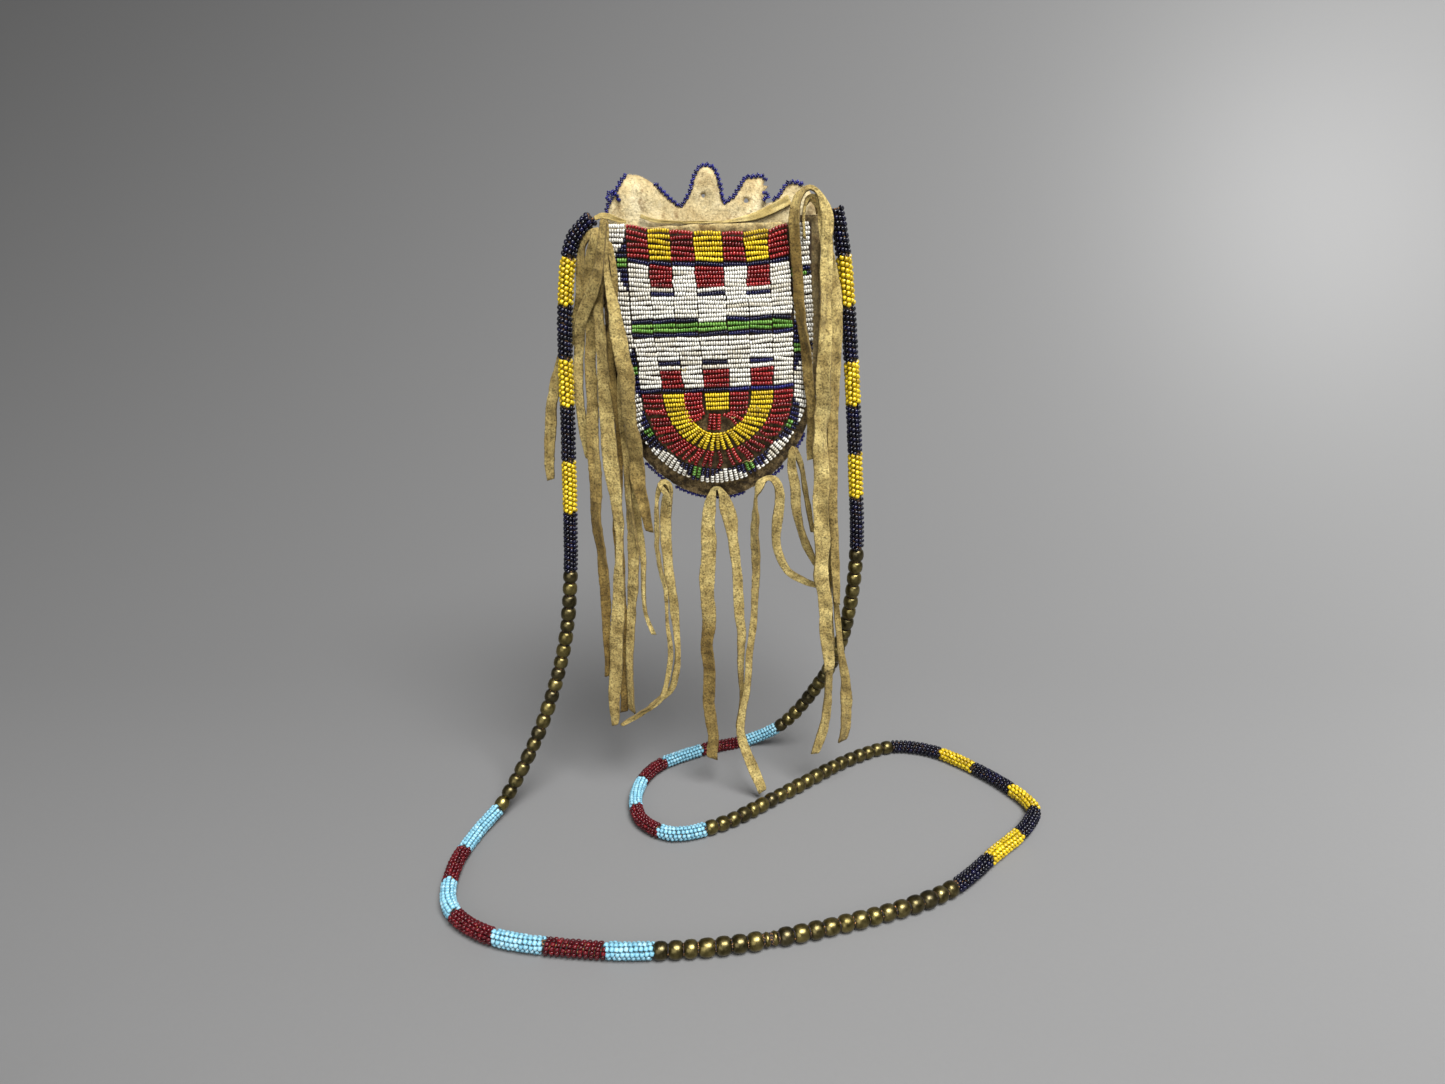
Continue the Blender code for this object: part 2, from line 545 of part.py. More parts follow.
def edgings():
    offset = EDGING_DIAMETER / 2 + 2 * GAP
    for name, stretches in EDGING_STRETCHES.items():
        line = []
        for lobe, first, last in stretches:
            shares = LOBES[lobe][first:last]
            line += [(share * HIDE_HALF, height * MM) for share, height in shares]
        points = [(u, HIDE_THICKNESS / 2, w) for u, w in beside_edge(line, offset)]
        tube(name, smooth_path(points, 2.6 * MM), EDGING_DIAMETER, "edging_blue", resolution=1)
    rim = u_curve(HIDE_HALF, SHOULDER, SHOULDER, HIDE_BOTTOM, 81)
    rim = rim[round(LOWER_EDGING_SPAN[0] * 80):round(LOWER_EDGING_SPAN[1] * 80) + 1]
    below = beside_edge(rim, -offset)
    points = [(u, -SEAM_GAP / 2, w) for u, w in below]
    tube("lower_edging", points, EDGING_DIAMETER, "edging_blue", resolution=1)


def thong_depth(x, z, width, forward):
    """Where a thong hangs along Y: clear of the pouch's front where it passes before it."""
    u = x * math.cos(LEAN) + z * math.sin(LEAN)
    w = z * math.cos(LEAN) - x * math.sin(LEAN)
    edge = max(0.0, abs(u) - width / 2)
    down = min(w - SHOULDER, 0.0) / (SHOULDER - BORDER_BOTTOM)
    outside = max(BORDER_HALF * (math.hypot(edge / BORDER_HALF, down) - 1.0), w - BEADS_TOP)
    beads = (BEAD_DIAMETER + GAP) * min(1.0, max(0.0, 1.0 - (outside - MM) / THONG_EASE))
    return -(hide_depth(edge, w) + beads + forward)


def flat_strip(name, line, thickness, colour, parent=None):
    """A strip swept along (x, y, z, width) points, flat to the front."""
    strip = bmesh.new()
    rings = []
    for k, (x, y, z, width) in enumerate(line):
        before, after = line[max(k - 1, 0)], line[min(k + 1, len(line) - 1)]
        along = Vector(after[:3]) - Vector(before[:3])
        side = along.cross(Vector((0.0, 1.0, 0.0))).normalized() * width / 2
        face = side.cross(along).normalized() * thickness / 2
        middle = Vector((x, y, z))
        corners = (middle + side + face, middle - side + face, middle - side - face, middle + side - face)
        rings.append([strip.verts.new(corner) for corner in corners])
    for a, b in zip(rings, rings[1:]):
        for k in range(4):
            strip.faces.new((a[k], a[(k + 1) % 4], b[(k + 1) % 4], b[k]))
    strip.faces.new(rings[0])
    strip.faces.new(rings[-1])
    bmesh.ops.recalc_face_normals(strip, faces=strip.faces)
    mesh = bpy.data.meshes.new(name)
    strip.to_mesh(mesh)
    strip.free()
    return place(name, mesh, (colour,), parent)


def thongs():
    """Each thong is looped over where it is tied, so that both its tails hang down."""
    for name, route in THONGS.items():
        points = []
        for x, z, forward, width in smooth_path([tuple(v * MM for v in point) for point in route], THONG_STEP):
            points.append((x, thong_depth(x, z, width, forward), z, width))
        flat_strip(name, points, THONG_THICKNESS, "fringe_hide")
    mouth = [(u * MM, -(GAP + THONG_THICKNESS / 2), w * MM, width * MM) for u, w, width in MOUTH_THONG]
    flat_strip("mouth_thong", smooth_path(mouth, THONG_STEP / 2), THONG_THICKNESS, "hide_pale", POUCH)


def strap():
    route = [(x * MM, y * MM, z * MM) for x, y, z in STRAP_ROUTE]
    fine = smooth_path(route, PATH_STEP)
    run = [0.0]
    for a, b in zip(fine, fine[1:]):
        run.append(run[-1] + (Vector(b) - Vector(a)).length)
    start = 0.0
    for name, length in STRAP_SECTIONS:
        end = run[-1] if length is None else start + length
        first = [k for k, r in enumerate(run) if r >= start + GAP / 2]
        stretch = [fine[k] for k in first if run[k] <= end - GAP / 2]
        count = max(3, round((end - start) / TUBE_STEP) + 1)
        brass = name.startswith("brass")
        diameter = BRASS_DIAMETER if brass else SEED_ROPE_DIAMETER
        colour = "aged_brass" if brass else "light_blue" if "_c" in name else "navy"
        square_end = END_RUN_STEPS
        middle = resample(stretch[square_end:-square_end], count)
        tube(name, [stretch[0], *middle, stretch[-1]], diameter, colour, parent=None)
        start = end


back_panel()
front_panel()
vertical_lanes()
u_lanes()
border_lane()
edgings()
thongs()
strap()
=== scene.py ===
"""Looks of the beaded hide pouch: beads, hide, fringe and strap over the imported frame.

Lengths here are millimetres until a mesh or curve is made. The pouch has coordinates of its own,
u across its face and w up it, and leans a little to its left.
"""

import math

import bpy
import numpy as np
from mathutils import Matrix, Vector, geometry


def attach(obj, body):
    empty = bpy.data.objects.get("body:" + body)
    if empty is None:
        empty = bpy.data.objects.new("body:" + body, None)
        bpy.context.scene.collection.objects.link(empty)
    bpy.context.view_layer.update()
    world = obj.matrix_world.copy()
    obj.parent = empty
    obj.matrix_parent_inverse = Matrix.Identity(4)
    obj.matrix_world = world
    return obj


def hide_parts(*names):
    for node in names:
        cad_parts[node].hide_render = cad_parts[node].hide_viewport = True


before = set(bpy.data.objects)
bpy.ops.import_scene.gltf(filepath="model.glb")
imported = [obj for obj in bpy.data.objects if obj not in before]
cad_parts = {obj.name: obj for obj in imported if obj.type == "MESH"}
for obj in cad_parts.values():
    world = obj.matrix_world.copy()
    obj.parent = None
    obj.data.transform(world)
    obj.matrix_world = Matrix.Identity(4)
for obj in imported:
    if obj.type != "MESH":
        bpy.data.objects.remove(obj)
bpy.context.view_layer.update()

MM = 0.001
LEAN = math.radians(2.1)

# Shape of the pouch
HIDE_HALF = 45.45
BORDER_HALF = 41.95
LANES_HALF = 33.15
SHOULDER = -53.7
HIDE_BOTTOM = -114.2
BORDER_BOTTOM = -107.2
RED_BOTTOM = -100.2
YELLOW_BOTTOM = -91.7
FAN_BOTTOM = -83.2
LANES_BOTTOM = -65.7
BEADS_TOP = -2.0
FRONT_TOP = -0.8
ROW_PITCH = 1.82
HIDE_THICKNESS = 1.2
SEAM_GAP = 0.3
BULGE = 11.0
LANE_EDGES = (-33.2, -24.2, -15.0, -5.5, 6.0, 15.0, 24.6, 33.1)
LANE_GAP = 0.3
U_TOP = LANES_BOTTOM - LANE_GAP


# Numbers and curves

def knot_times(knots):
    """A running number for the knots of a smooth curve, from the root of each gap between them."""
    return np.concatenate(([0.0], np.cumsum(np.linalg.norm(np.diff(knots, axis=0), axis=1) ** 0.5)))


def smooth_path(points, step, parts=24):
    """Points at equal steps along a smooth curve through the given points."""
    knots = np.array(points, float)
    times = knot_times(knots)
    slopes = np.gradient(knots, times, axis=0)
    t = (np.arange(parts) / parts)[:, None]
    fine = []
    for k, span in enumerate(np.diff(times)):
        fine.append((2 * t ** 3 - 3 * t ** 2 + 1) * knots[k] + (t ** 3 - 2 * t ** 2 + t) * span * slopes[k]
                    + (3 * t ** 2 - 2 * t ** 3) * knots[k + 1] + (t ** 3 - t ** 2) * span * slopes[k + 1])
    fine = np.concatenate([*fine, knots[-1:]])
    length = np.linalg.norm(np.diff(fine, axis=0), axis=1).sum()
    return resample(fine, max(3, round(length / step) + 1))


def run_of(line):
    """How far along a line each of its points is."""
    return np.concatenate(([0.0], np.cumsum(np.linalg.norm(np.diff(line, axis=0), axis=1))))


def values_at(places, run, values):
    """Rows of values read at places along a run, between the rows that are known there."""
    return np.stack([np.interp(places, run, column) for column in values.T], axis=-1)


def resample(line, count):
    """A number of points at equal steps along a line."""
    line = np.array(line, float)
    run = run_of(line)
    return values_at(np.linspace(0.0, run[-1], count), run, line)


def on_line(line, shares):
    """The points of a line of even steps at shares of its length."""
    return values_at(shares, np.linspace(0.0, 1.0, len(line)), line)


def near_to(near, out, share):
    """The point a share of the way from near to out."""
    return near + (np.asarray(out) - near) * share


def unit(vectors):
    return vectors / np.maximum(np.linalg.norm(vectors, axis=-1, keepdims=True), 1e-9)


def capped(values):
    """Values kept from 0 to 1."""
    return np.clip(values, 0.0, 1.0)


def round_turn(count):
    """Angles at even steps round a circle."""
    return np.linspace(0, 2 * math.pi, count, endpoint=False)


def turned_by(side, face, turn):
    """Two crossways directions, turned by an angle at each point."""
    cos, sin = np.cos(turn)[:, None], np.sin(turn)[:, None]
    return side * cos + face * sin, face * cos - side * sin


def spokes(side, face, turn):
    """For each pair of crossways directions, the directions at the given angles between them."""
    return side[:, None] * np.cos(turn)[None, :, None] + face[:, None] * np.sin(turn)[None, :, None]


def wave(seed, size, parts=6):
    """A smooth random function of one variable, about one unit high, with features of a size."""
    rng = np.random.default_rng(seed)
    rate = 2 * math.pi / size * rng.uniform(0.5, 1.5, parts)
    phase = rng.uniform(0, 2 * math.pi, parts)
    scale = math.sqrt(parts / 2)
    return lambda t: np.sin(np.multiply.outer(np.asarray(t, float), rate) + phase).sum(-1) / scale


def ripple(seed, size, parts=10):
    """The same over two variables."""
    rng = np.random.default_rng(seed)
    rate = 2 * math.pi / size * rng.uniform(0.5, 1.6, parts)
    turn = rng.uniform(0, 2 * math.pi, parts)
    phase = rng.uniform(0, 2 * math.pi, parts)

    def height(a, b):
        a, b = np.asarray(a, float), np.asarray(b, float)
        along = np.multiply.outer(a, rate * np.cos(turn)) + np.multiply.outer(b, rate * np.sin(turn))
        return np.sin(along + phase).sum(-1) / math.sqrt(parts / 2)
    return height


def hide_depth(u, w):
    """How far in front of the seam the outer face of the front hide stands."""
    down = np.minimum(w - SHOULDER, 0.0) / (SHOULDER - HIDE_BOTTOM)
    out = np.minimum(1.0, (u / HIDE_HALF) ** 2 + down ** 2)
    return SEAM_GAP + HIDE_THICKNESS + BULGE * (1.0 - out)


def in_frame(u, y, w):
    """Points of the pouch's own coordinates in the part's frame."""
    u, y, w = np.broadcast_arrays(np.asarray(u, float), np.asarray(y, float), np.asarray(w, float))
    across = u * math.cos(LEAN) - w * math.sin(LEAN)
    up = u * math.sin(LEAN) + w * math.cos(LEAN)
    return np.stack([across, y, up], axis=-1)


def on_front(u, w, height=0.0):
    """Points at a height above the front hide, in the part's frame."""
    return in_frame(u, -(hide_depth(u, w) + height), w)


def u_curve(half, top, shoulder, bottom, count, centre=0.0):
    """A U: down the left side, round a half ellipse and up the right side, at equal steps."""
    turn = np.linspace(0.0, math.pi, 121)
    bend = np.stack([centre - half * np.cos(turn), shoulder - (shoulder - bottom) * np.sin(turn)], axis=1)
    return resample(np.concatenate([[(centre - half, top)], bend, [(centre + half, top)]]), count)


# Meshes

def new_object(name, data):
    made = bpy.data.objects.new(name, data)
    bpy.context.scene.collection.objects.link(made)
    return made


def mesh_piece(name, points, faces, made, nodes, numbers=None, smooth=True):
    """A piece of one material from points in millimetres and arrays of faces, riding on the body."""
    mesh = bpy.data.meshes.new(name)
    mesh.vertices.add(len(points))
    mesh.vertices.foreach_set("co", (np.asarray(points) * MM).astype(np.float32).ravel())
    faces = [np.asarray(f, np.int32) for f in faces]
    sizes = np.concatenate([np.full(len(f), f.shape[1], np.int32) for f in faces])
    mesh.loops.add(int(sizes.sum()))
    mesh.loops.foreach_set("vertex_index", np.concatenate([f.ravel() for f in faces]))
    mesh.polygons.add(len(sizes))
    mesh.polygons.foreach_set("loop_start", np.concatenate(([0], np.cumsum(sizes)[:-1])).astype(np.int32))
    mesh.materials.append(made)
    mesh.update(calc_edges=True)
    mesh.validate()
    if smooth:
        mesh.shade_smooth()
    for key, values in (numbers or {}).items():
        mesh.attributes.new(key, "FLOAT", "POINT").data.foreach_set("value", np.asarray(values, np.float32))
    piece = new_object(name, mesh)
    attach(piece, "root")
    if nodes:
        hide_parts(*nodes)
    return piece


def tube_faces(rows, sides):
    """Faces of a closed tube of rows of points, with a cap at each end."""
    row, k = np.meshgrid(np.arange(rows - 1), np.arange(sides), indexing="ij")
    a = (row * sides + k).ravel()
    b = (row * sides + (k + 1) % sides).ravel()
    caps = np.stack([np.arange(sides)[::-1], (rows - 1) * sides + np.arange(sides)])
    return [np.stack([a, b, b + sides, a + sides], axis=1), caps]


# A bead's outline, as shares of its half length and of its radius, from one hole to the other
SEED_PROFILE = ((-0.46, 0.0), (-0.93, 0.36), (-0.80, 0.70), (-0.34, 0.99),
                (0.34, 0.99), (0.80, 0.70), (0.93, 0.36), (0.46, 0.0))
SEED_SIDES = 8
# How dark the seed beads' end rings are made: dirt, and painted shade in the grooves between beads
SEED_DIRT_AND_SHADE = 0.95


def bead_faces(rings, sides):
    """Faces of one bead, whose first two points lie in its hole, before the rings between them."""
    last = 2 + (rings - 1) * sides
    quads, tris = [], []
    for k in range(sides):
        after = (k + 1) % sides
        tris += [(0, 2 + after, 2 + k), (1, last + k, last + after)]
        for a in range(2, last, sides):
            quads.append((a + k, a + after, a + sides + after, a + sides + k))
    return np.array(quads), np.array(tris)


def bead_mesh(centres, axes, radii, halves, tones, profile=SEED_PROFILE, sides=SEED_SIDES, dirt=SEED_DIRT_AND_SHADE):
    """Points and faces of many beads, with each point's tone and its nearness to the hole, where the glass
    paints dirt and shade.
    """
    centres, axes = np.asarray(centres, float), unit(np.asarray(axes, float))
    radii, halves = np.asarray(radii, float), np.asarray(halves, float)
    level = np.abs(axes[:, 1:2]) < 0.8
    side = unit(np.cross(axes, np.where(level, ((0.0, 1.0, 0.0),), ((1.0, 0.0, 0.0),))))
    around = spokes(side, np.cross(axes, side), round_turn(sides))
    blocks = []
    for end in (0, -1):
        blocks.append((centres + axes * (profile[end][0] * halves)[:, None])[:, None])
    for share, width in profile[1:-1]:
        middle = centres + axes * (share * halves)[:, None]
        blocks.append(middle[:, None] + around * (width * radii)[:, None, None])
    points = np.concatenate(blocks, axis=1)
    count, per = points.shape[:2]
    quads, tris = bead_faces(len(profile) - 2, sides)
    shift = (np.arange(count) * per)[:, None, None]
    # Points in the hole and on the end rings are marked for the glass's dirt and painted shade
    ends = np.zeros((count, per))
    ends[:, :2] = 1.0
    ends[:, 2:2 + sides] = dirt
    ends[:, -sides:] = dirt
    faces = [(quads + shift).reshape(-1, 4), (tris + shift).reshape(-1, 3)]
    return points.reshape(-1, 3), faces, {"tone": np.repeat(tones, per), "end": ends.ravel()}


class Beads:
    """Beads of one colour, gathered before their mesh is made."""

    def __init__(self):
        self.parts = []

    def add(self, centres, axes, radii, halves, tones):
        self.parts.append((centres, axes, radii, halves, tones))

    def piece(self, name, made, nodes, slot, **shape):
        joined = [np.concatenate([np.asarray(part[k], float) for part in self.parts]) for k in range(5)]
        points, faces, numbers = bead_mesh(*joined, **shape)
        return mesh_piece(name, points, faces, made, nodes, numbers)


# Materials

def new_material(name, roughness, **constants):
    """A material, its nodes and its shader, with constants named as the shader's sockets are."""
    made = bpy.data.materials.new(name)
    made.use_nodes = True
    shader = made.node_tree.nodes["Principled BSDF"]
    for key, value in {"Roughness": roughness, **constants}.items():
        shader.inputs[key.replace("_", " ")].default_value = value
    return made, made.node_tree, shader


def node(tree, kind, values=None, **settings):
    made = tree.nodes.new(kind)
    for key, value in settings.items():
        setattr(made, key, value)
    for key, value in (values or {}).items():
        made.inputs[key].default_value = value
    return made


def ramp(tree, source, stops):
    """A colour ramp over a number, from (place, colour) stops."""
    made = node(tree, "ShaderNodeValToRGB")
    points = made.color_ramp.elements
    while len(points) < len(stops):
        points.new(0.5)
    for point, (place, colour) in zip(points, stops):
        point.position = place
        point.color = (*colour, 1.0) if hasattr(colour, "__len__") else (colour, colour, colour, 1.0)
    tree.links.new(source, made.inputs["Fac"])
    return made.outputs["Color"]


def blend(tree, share, first, second, mode="MIX"):
    """A mix of two colours, each a colour or an output, by a number or an output."""
    made = node(tree, "ShaderNodeMix", data_type="RGBA", blend_type=mode)
    for place, value in ((0, share), (6, first), (7, second)):
        socket = made.inputs[place]
        if isinstance(value, bpy.types.NodeSocket):
            tree.links.new(value, socket)
        elif hasattr(value, "__len__"):
            socket.default_value = (*value, 1.0)
        else:
            socket.default_value = value
    return made.outputs[2]


def noise(tree, size, detail=3.0, stretch=None, roughness=0.55):
    """Noise with features of about a size in millimetres, fixed to the object."""
    place = node(tree, "ShaderNodeTexCoord").outputs["Object"]
    if stretch:
        mapping = node(tree, "ShaderNodeMapping", {"Scale": stretch})
        tree.links.new(place, mapping.inputs["Vector"])
        place = mapping.outputs["Vector"]
    values = {"Scale": 1000.0 / size, "Detail": detail, "Roughness": roughness}
    made = node(tree, "ShaderNodeTexNoise", values)
    tree.links.new(place, made.inputs["Vector"])
    return made.outputs["Fac"]


def number(tree, name):
    """A number that the mesh has at each of its points."""
    return node(tree, "ShaderNodeAttribute", attribute_name=name).outputs["Fac"]


def bump(tree, shader, source, distance):
    made = node(tree, "ShaderNodeBump", {"Distance": distance * MM, "Strength": 1.0})
    tree.links.new(source, made.inputs["Height"])
    tree.links.new(made.outputs["Normal"], shader.inputs["Normal"])


def glass(name, dark, colour, light, roughness, matt=0.3, **constants):
    """Glass of seed beads: each bead has its own tone, and is darkened round its hole by dirt and painted
    shade.
    """
    made, tree, shader = new_material(name, roughness, **constants)
    toned = ramp(tree, number(tree, "tone"), ((0.0, dark), (0.5, colour), (1.0, light)))
    dirt = ramp(tree, noise(tree, 1.6), ((0.35, 0.72), (0.6, 1.0)))
    worn = blend(tree, 0.6, toned, dirt, "MULTIPLY")
    # Painted shade: the holes and end rings go nearly black, as the shade in the grooves between beads, with
    # some dirt
    dirty = blend(tree, number(tree, "end"), worn, tuple(0.15 * c for c in dark))
    tree.links.new(dirty, shader.inputs["Base Color"])
    dull = ramp(tree, noise(tree, 2.5), ((0.4, roughness), (0.75, roughness + matt)))
    tree.links.new(dull, shader.inputs["Roughness"])
    return made


SUEDE_STAIN = (0.25, 0.16, 0.07)
# The tone that dirt and painted shade darken the suede towards
SUEDE_DIRT_AND_SHADE = (0.36, 0.30, 0.20)


def suede(name, dark, colour, light, edge, amount, coarse=9.0, fine=0.45, height=0.16, streak=0.0,
          pits=(0.36, 0.47, 0.60), low=0.36):
    """Brain-tanned hide: mottled, speckled by its nap, stained here and there, darker by dirt and painted
    shade and along cut edges.
    """
    made, tree, shader = new_material(name, 0.92, Sheen_Weight=0.06, Sheen_Roughness=0.6,
                                      Specular_IOR_Level=0.15)
    stops = ((0.34, dark), (0.5, colour), (0.66, light))
    mottled = ramp(tree, noise(tree, coarse, 6.0, roughness=0.62), stops)
    speckle = ramp(tree, noise(tree, fine, 5.0, roughness=0.75), tuple(zip(pits, (low, 0.84, 1.0))))
    napped = blend(tree, 0.85, mottled, speckle, "MULTIPLY")
    streaks = ramp(tree, noise(tree, fine * 2.2, 4.0, (1.0, 1.0, 0.12)), ((0.36, 0.66), (0.52, 1.0)))
    napped = blend(tree, streak, napped, streaks, "MULTIPLY")
    spots = ramp(tree, noise(tree, coarse * 0.45, 7.0, roughness=0.68), ((0.54, 0.0), (0.66, amount)))
    napped = blend(tree, spots, napped, SUEDE_STAIN)
    # Dirt and painted shade: the mesh's numbers for them darken the suede
    napped = blend(tree, number(tree, "dirt"), napped, SUEDE_DIRT_AND_SHADE, "MULTIPLY")
    # Darker along cut edges; on the strips' narrow sides this is painted shade too
    tree.links.new(blend(tree, number(tree, "edge"), napped, edge), shader.inputs["Base Color"])
    bump(tree, shader, noise(tree, fine * 1.3, 5.0, roughness=0.65), height)
    return made


def front_hide():
    """Smoked brown hide between the beads, paler and cleaner at the mouth, with painted shade under the beads
    and painted light at the right rim.
    """
    made, tree, shader = new_material("brown_hide", 0.95, Sheen_Weight=0.1, Sheen_Roughness=0.6,
                                      Specular_IOR_Level=0.15)
    stops = ((0.36, (0.030, 0.017, 0.006)), (0.47, (0.085, 0.053, 0.018)), (0.60, (0.31, 0.215, 0.090)))
    brown = ramp(tree, noise(tree, 3.4, 7.0, roughness=0.7), stops)
    stops = ((0.36, (0.22, 0.14, 0.05)), (0.46, (0.40, 0.295, 0.12)), (0.66, (0.56, 0.45, 0.22)))
    pale = ramp(tree, noise(tree, 6.0, 6.0), stops)
    # Pale where the hide is bare at the mouth, and at the right rim as painted light
    both = blend(tree, number(tree, "bare_and_lit"), brown, pale)
    speckle = ramp(tree, noise(tree, 0.9, 5.0, roughness=0.7), ((0.40, 0.4), (0.50, 0.85), (0.60, 1.0)))
    napped = blend(tree, 0.85, both, speckle, "MULTIPLY")
    # Painted shade under the beads: the hide goes nearly black where the beads cover it
    bead_shade = blend(tree, number(tree, "under"), napped, (0.045, 0.028, 0.015))
    tree.links.new(bead_shade, shader.inputs["Base Color"])
    bump(tree, shader, noise(tree, 1.1, 6.0, roughness=0.7), 0.6)
    return made


def brass():
    """Brass under a dark patina, each bead worn bright in its own places."""
    made, tree, shader = new_material("aged_brass_beads", 0.35, Metallic=1.0)
    worn = ramp(tree, noise(tree, 3.5, 5.0, roughness=0.6), ((0.36, 0.0), (0.64, 1.0)))
    tone = number(tree, "tone")
    dull = ramp(tree, tone, ((0.0, (0.038, 0.032, 0.018)), (1.0, (0.11, 0.088, 0.029))))
    bright = ramp(tree, tone, ((0.0, (0.12, 0.100, 0.052)), (1.0, (0.31, 0.250, 0.090))))
    mixed = blend(tree, worn, dull, bright)
    # Darker round the holes where the beads meet: patina, and painted shade in the gaps between beads
    dirty = blend(tree, number(tree, "end"), mixed, (0.02, 0.014, 0.008))
    tree.links.new(dirty, shader.inputs["Base Color"])
    matt = ramp(tree, noise(tree, 1.6, 5.0), ((0.3, 0.25), (0.7, 0.42)))
    tree.links.new(matt, shader.inputs["Roughness"])
    bump(tree, shader, noise(tree, 0.8, 4.0), 0.025)
    return made


def thread():
    """Thread with orange fibres, painted nearly black as the shade deep between the beads."""
    made, tree, shader = new_material("orange_thread", 0.8)
    # Painted shade: nearly black as the shade between the beads; only the fibres show the thread's orange
    stops = ((0.40, (0.006, 0.004, 0.004)), (0.58, (0.012, 0.007, 0.005)), (0.64, (0.50, 0.25, 0.08)))
    tree.links.new(ramp(tree, noise(tree, 0.6, 4.0), stops), shader.inputs["Base Color"])
    bump(tree, shader, noise(tree, 0.35, 3.0), 0.15)
    return made


# Each glass has a dark, a middle and a light tone
WHITE = glass("white_glass", (0.56, 0.51, 0.40), (0.82, 0.79, 0.70), (0.90, 0.89, 0.82), 0.22)
RED = glass("red_glass", (0.10, 0.004, 0.005), (0.25, 0.009, 0.010), (0.40, 0.022, 0.020), 0.12, 0.05,
            Coat_Weight=0.3, Coat_Roughness=0.15)
YELLOW = glass("yellow_glass", (0.34, 0.22, 0.008), (0.70, 0.49, 0.010), (0.86, 0.65, 0.022), 0.16, 0.2)
NAVY = glass("navy_glass", (0.003, 0.003, 0.016), (0.005, 0.005, 0.034), (0.010, 0.010, 0.075), 0.10, 0.08)
STRAP_NAVY = glass("strap_navy_glass", (0.001, 0.001, 0.004), (0.002, 0.002, 0.010), (0.005, 0.005, 0.04),
                   0.10, 0.04, Specular_IOR_Level=0.45)
ROYAL = glass("royal_glass", (0.006, 0.006, 0.05), (0.010, 0.010, 0.11), (0.02, 0.02, 0.20), 0.12)
GREEN = glass("green_glass", (0.07, 0.17, 0.018), (0.115, 0.29, 0.038), (0.19, 0.39, 0.07), 0.15)
EDGING_BLUE = glass("edging_glass", (0.005, 0.005, 0.05), (0.009, 0.009, 0.12), (0.02, 0.02, 0.24), 0.14)
LIGHT_BLUE = glass("light_blue_glass", (0.17, 0.41, 0.54), (0.24, 0.54, 0.69), (0.42, 0.70, 0.82), 0.16)
DARK_RED = glass("dark_red_glass", (0.045, 0.002, 0.004), (0.09, 0.004, 0.008), (0.18, 0.010, 0.014),
                 0.10, 0.06, Specular_IOR_Level=0.36)
# Each suede has them too, and a tone for its cut edges, which on the strips' narrow sides is painted shade
# too
FRINGE = suede("fringe_suede", (0.32, 0.23, 0.075), (0.54, 0.41, 0.148), (0.74, 0.59, 0.23),
               (0.16, 0.11, 0.035), coarse=7.0, fine=0.85, height=0.6, amount=0.2, streak=0.5,
               pits=(0.41, 0.49, 0.56), low=0.25)
BACK_HIDE = suede("pale_hide", (0.40, 0.29, 0.13), (0.64, 0.52, 0.28), (0.74, 0.64, 0.40),
                  (0.30, 0.22, 0.10), coarse=11.0, fine=1.1, height=0.5, amount=0.75)
MOUTH_HIDE = suede("mouth_hide", (0.30, 0.21, 0.065), (0.46, 0.345, 0.12), (0.60, 0.48, 0.20),
                   (0.20, 0.13, 0.04), amount=0.4)
FRONT_HIDE = front_hide()
BRASS = brass()
THREAD = thread()

# Camera

SENSOR = 36.0
PHOTO_WIDTH = 1445.0
FOCAL_PIXELS = 800.0
CAMERA_DOWN = 17.4
camera_data = bpy.data.cameras.new("camera")
camera_data.sensor_width = SENSOR
camera_data.lens = SENSOR * FOCAL_PIXELS / PHOTO_WIDTH
camera_data.clip_start = 0.01
camera = new_object("camera", camera_data)
camera.location = (0.0056, -0.350, -0.0265)
camera.rotation_euler = (math.radians(90.0 - CAMERA_DOWN), 0.0, 0.0)
bpy.context.scene.camera = camera

# Strap

# Height of its centreline where it lies on the floor
LYING = -261.5
STRAP_ROUTE = (
    (-47.2, -2, 2.2), (-55.5, -2, -7), (-60, -2, -32), (-62, -2, -90), (-64.7, -2, -153),
    (-69.5, -4, -188), (-81.5, -12, -226), (-98, -24.5, -257), (-106, -42, LYING),
    (-109, -65, LYING), (-103.5, -88, LYING), (-86, -102, LYING), (-44, -110, LYING),
    (0, -109, LYING), (50, -98, LYING), (97, -80, LYING), (124, -57.5, LYING),
    (147, -36, LYING), (153.5, -24, LYING), (148.5, -9, LYING), (136, 9, LYING),
    (119, 25, LYING), (99, 30, LYING), (74, 18.5, LYING), (36, -12, LYING), (5, -36, LYING),
    (-17, -43, LYING), (-32, -33, LYING), (-36.5, -12, LYING), (-29, 10, LYING),
    (-6, 26.5, LYING), (20, 37, LYING), (38, 34, -250), (56, 27, -222), (64, 9, -188),
    (67, -1, -145), (64.5, -2, -102), (60.5, -2.6, -57), (55, -2.6, -12), (51.2, -2.6, 5.4),
)
STRAP_NODES = ("rope_a1", "brass_string_1", "rope_c1", "brass_string_2", "rope_e", "brass_string_3",
               "rope_c2", "brass_string_4", "rope_a2")
NAVY_ROPE = ("navy", "yellow")
BLUE_ROPE = ("light_blue", "dark_red")
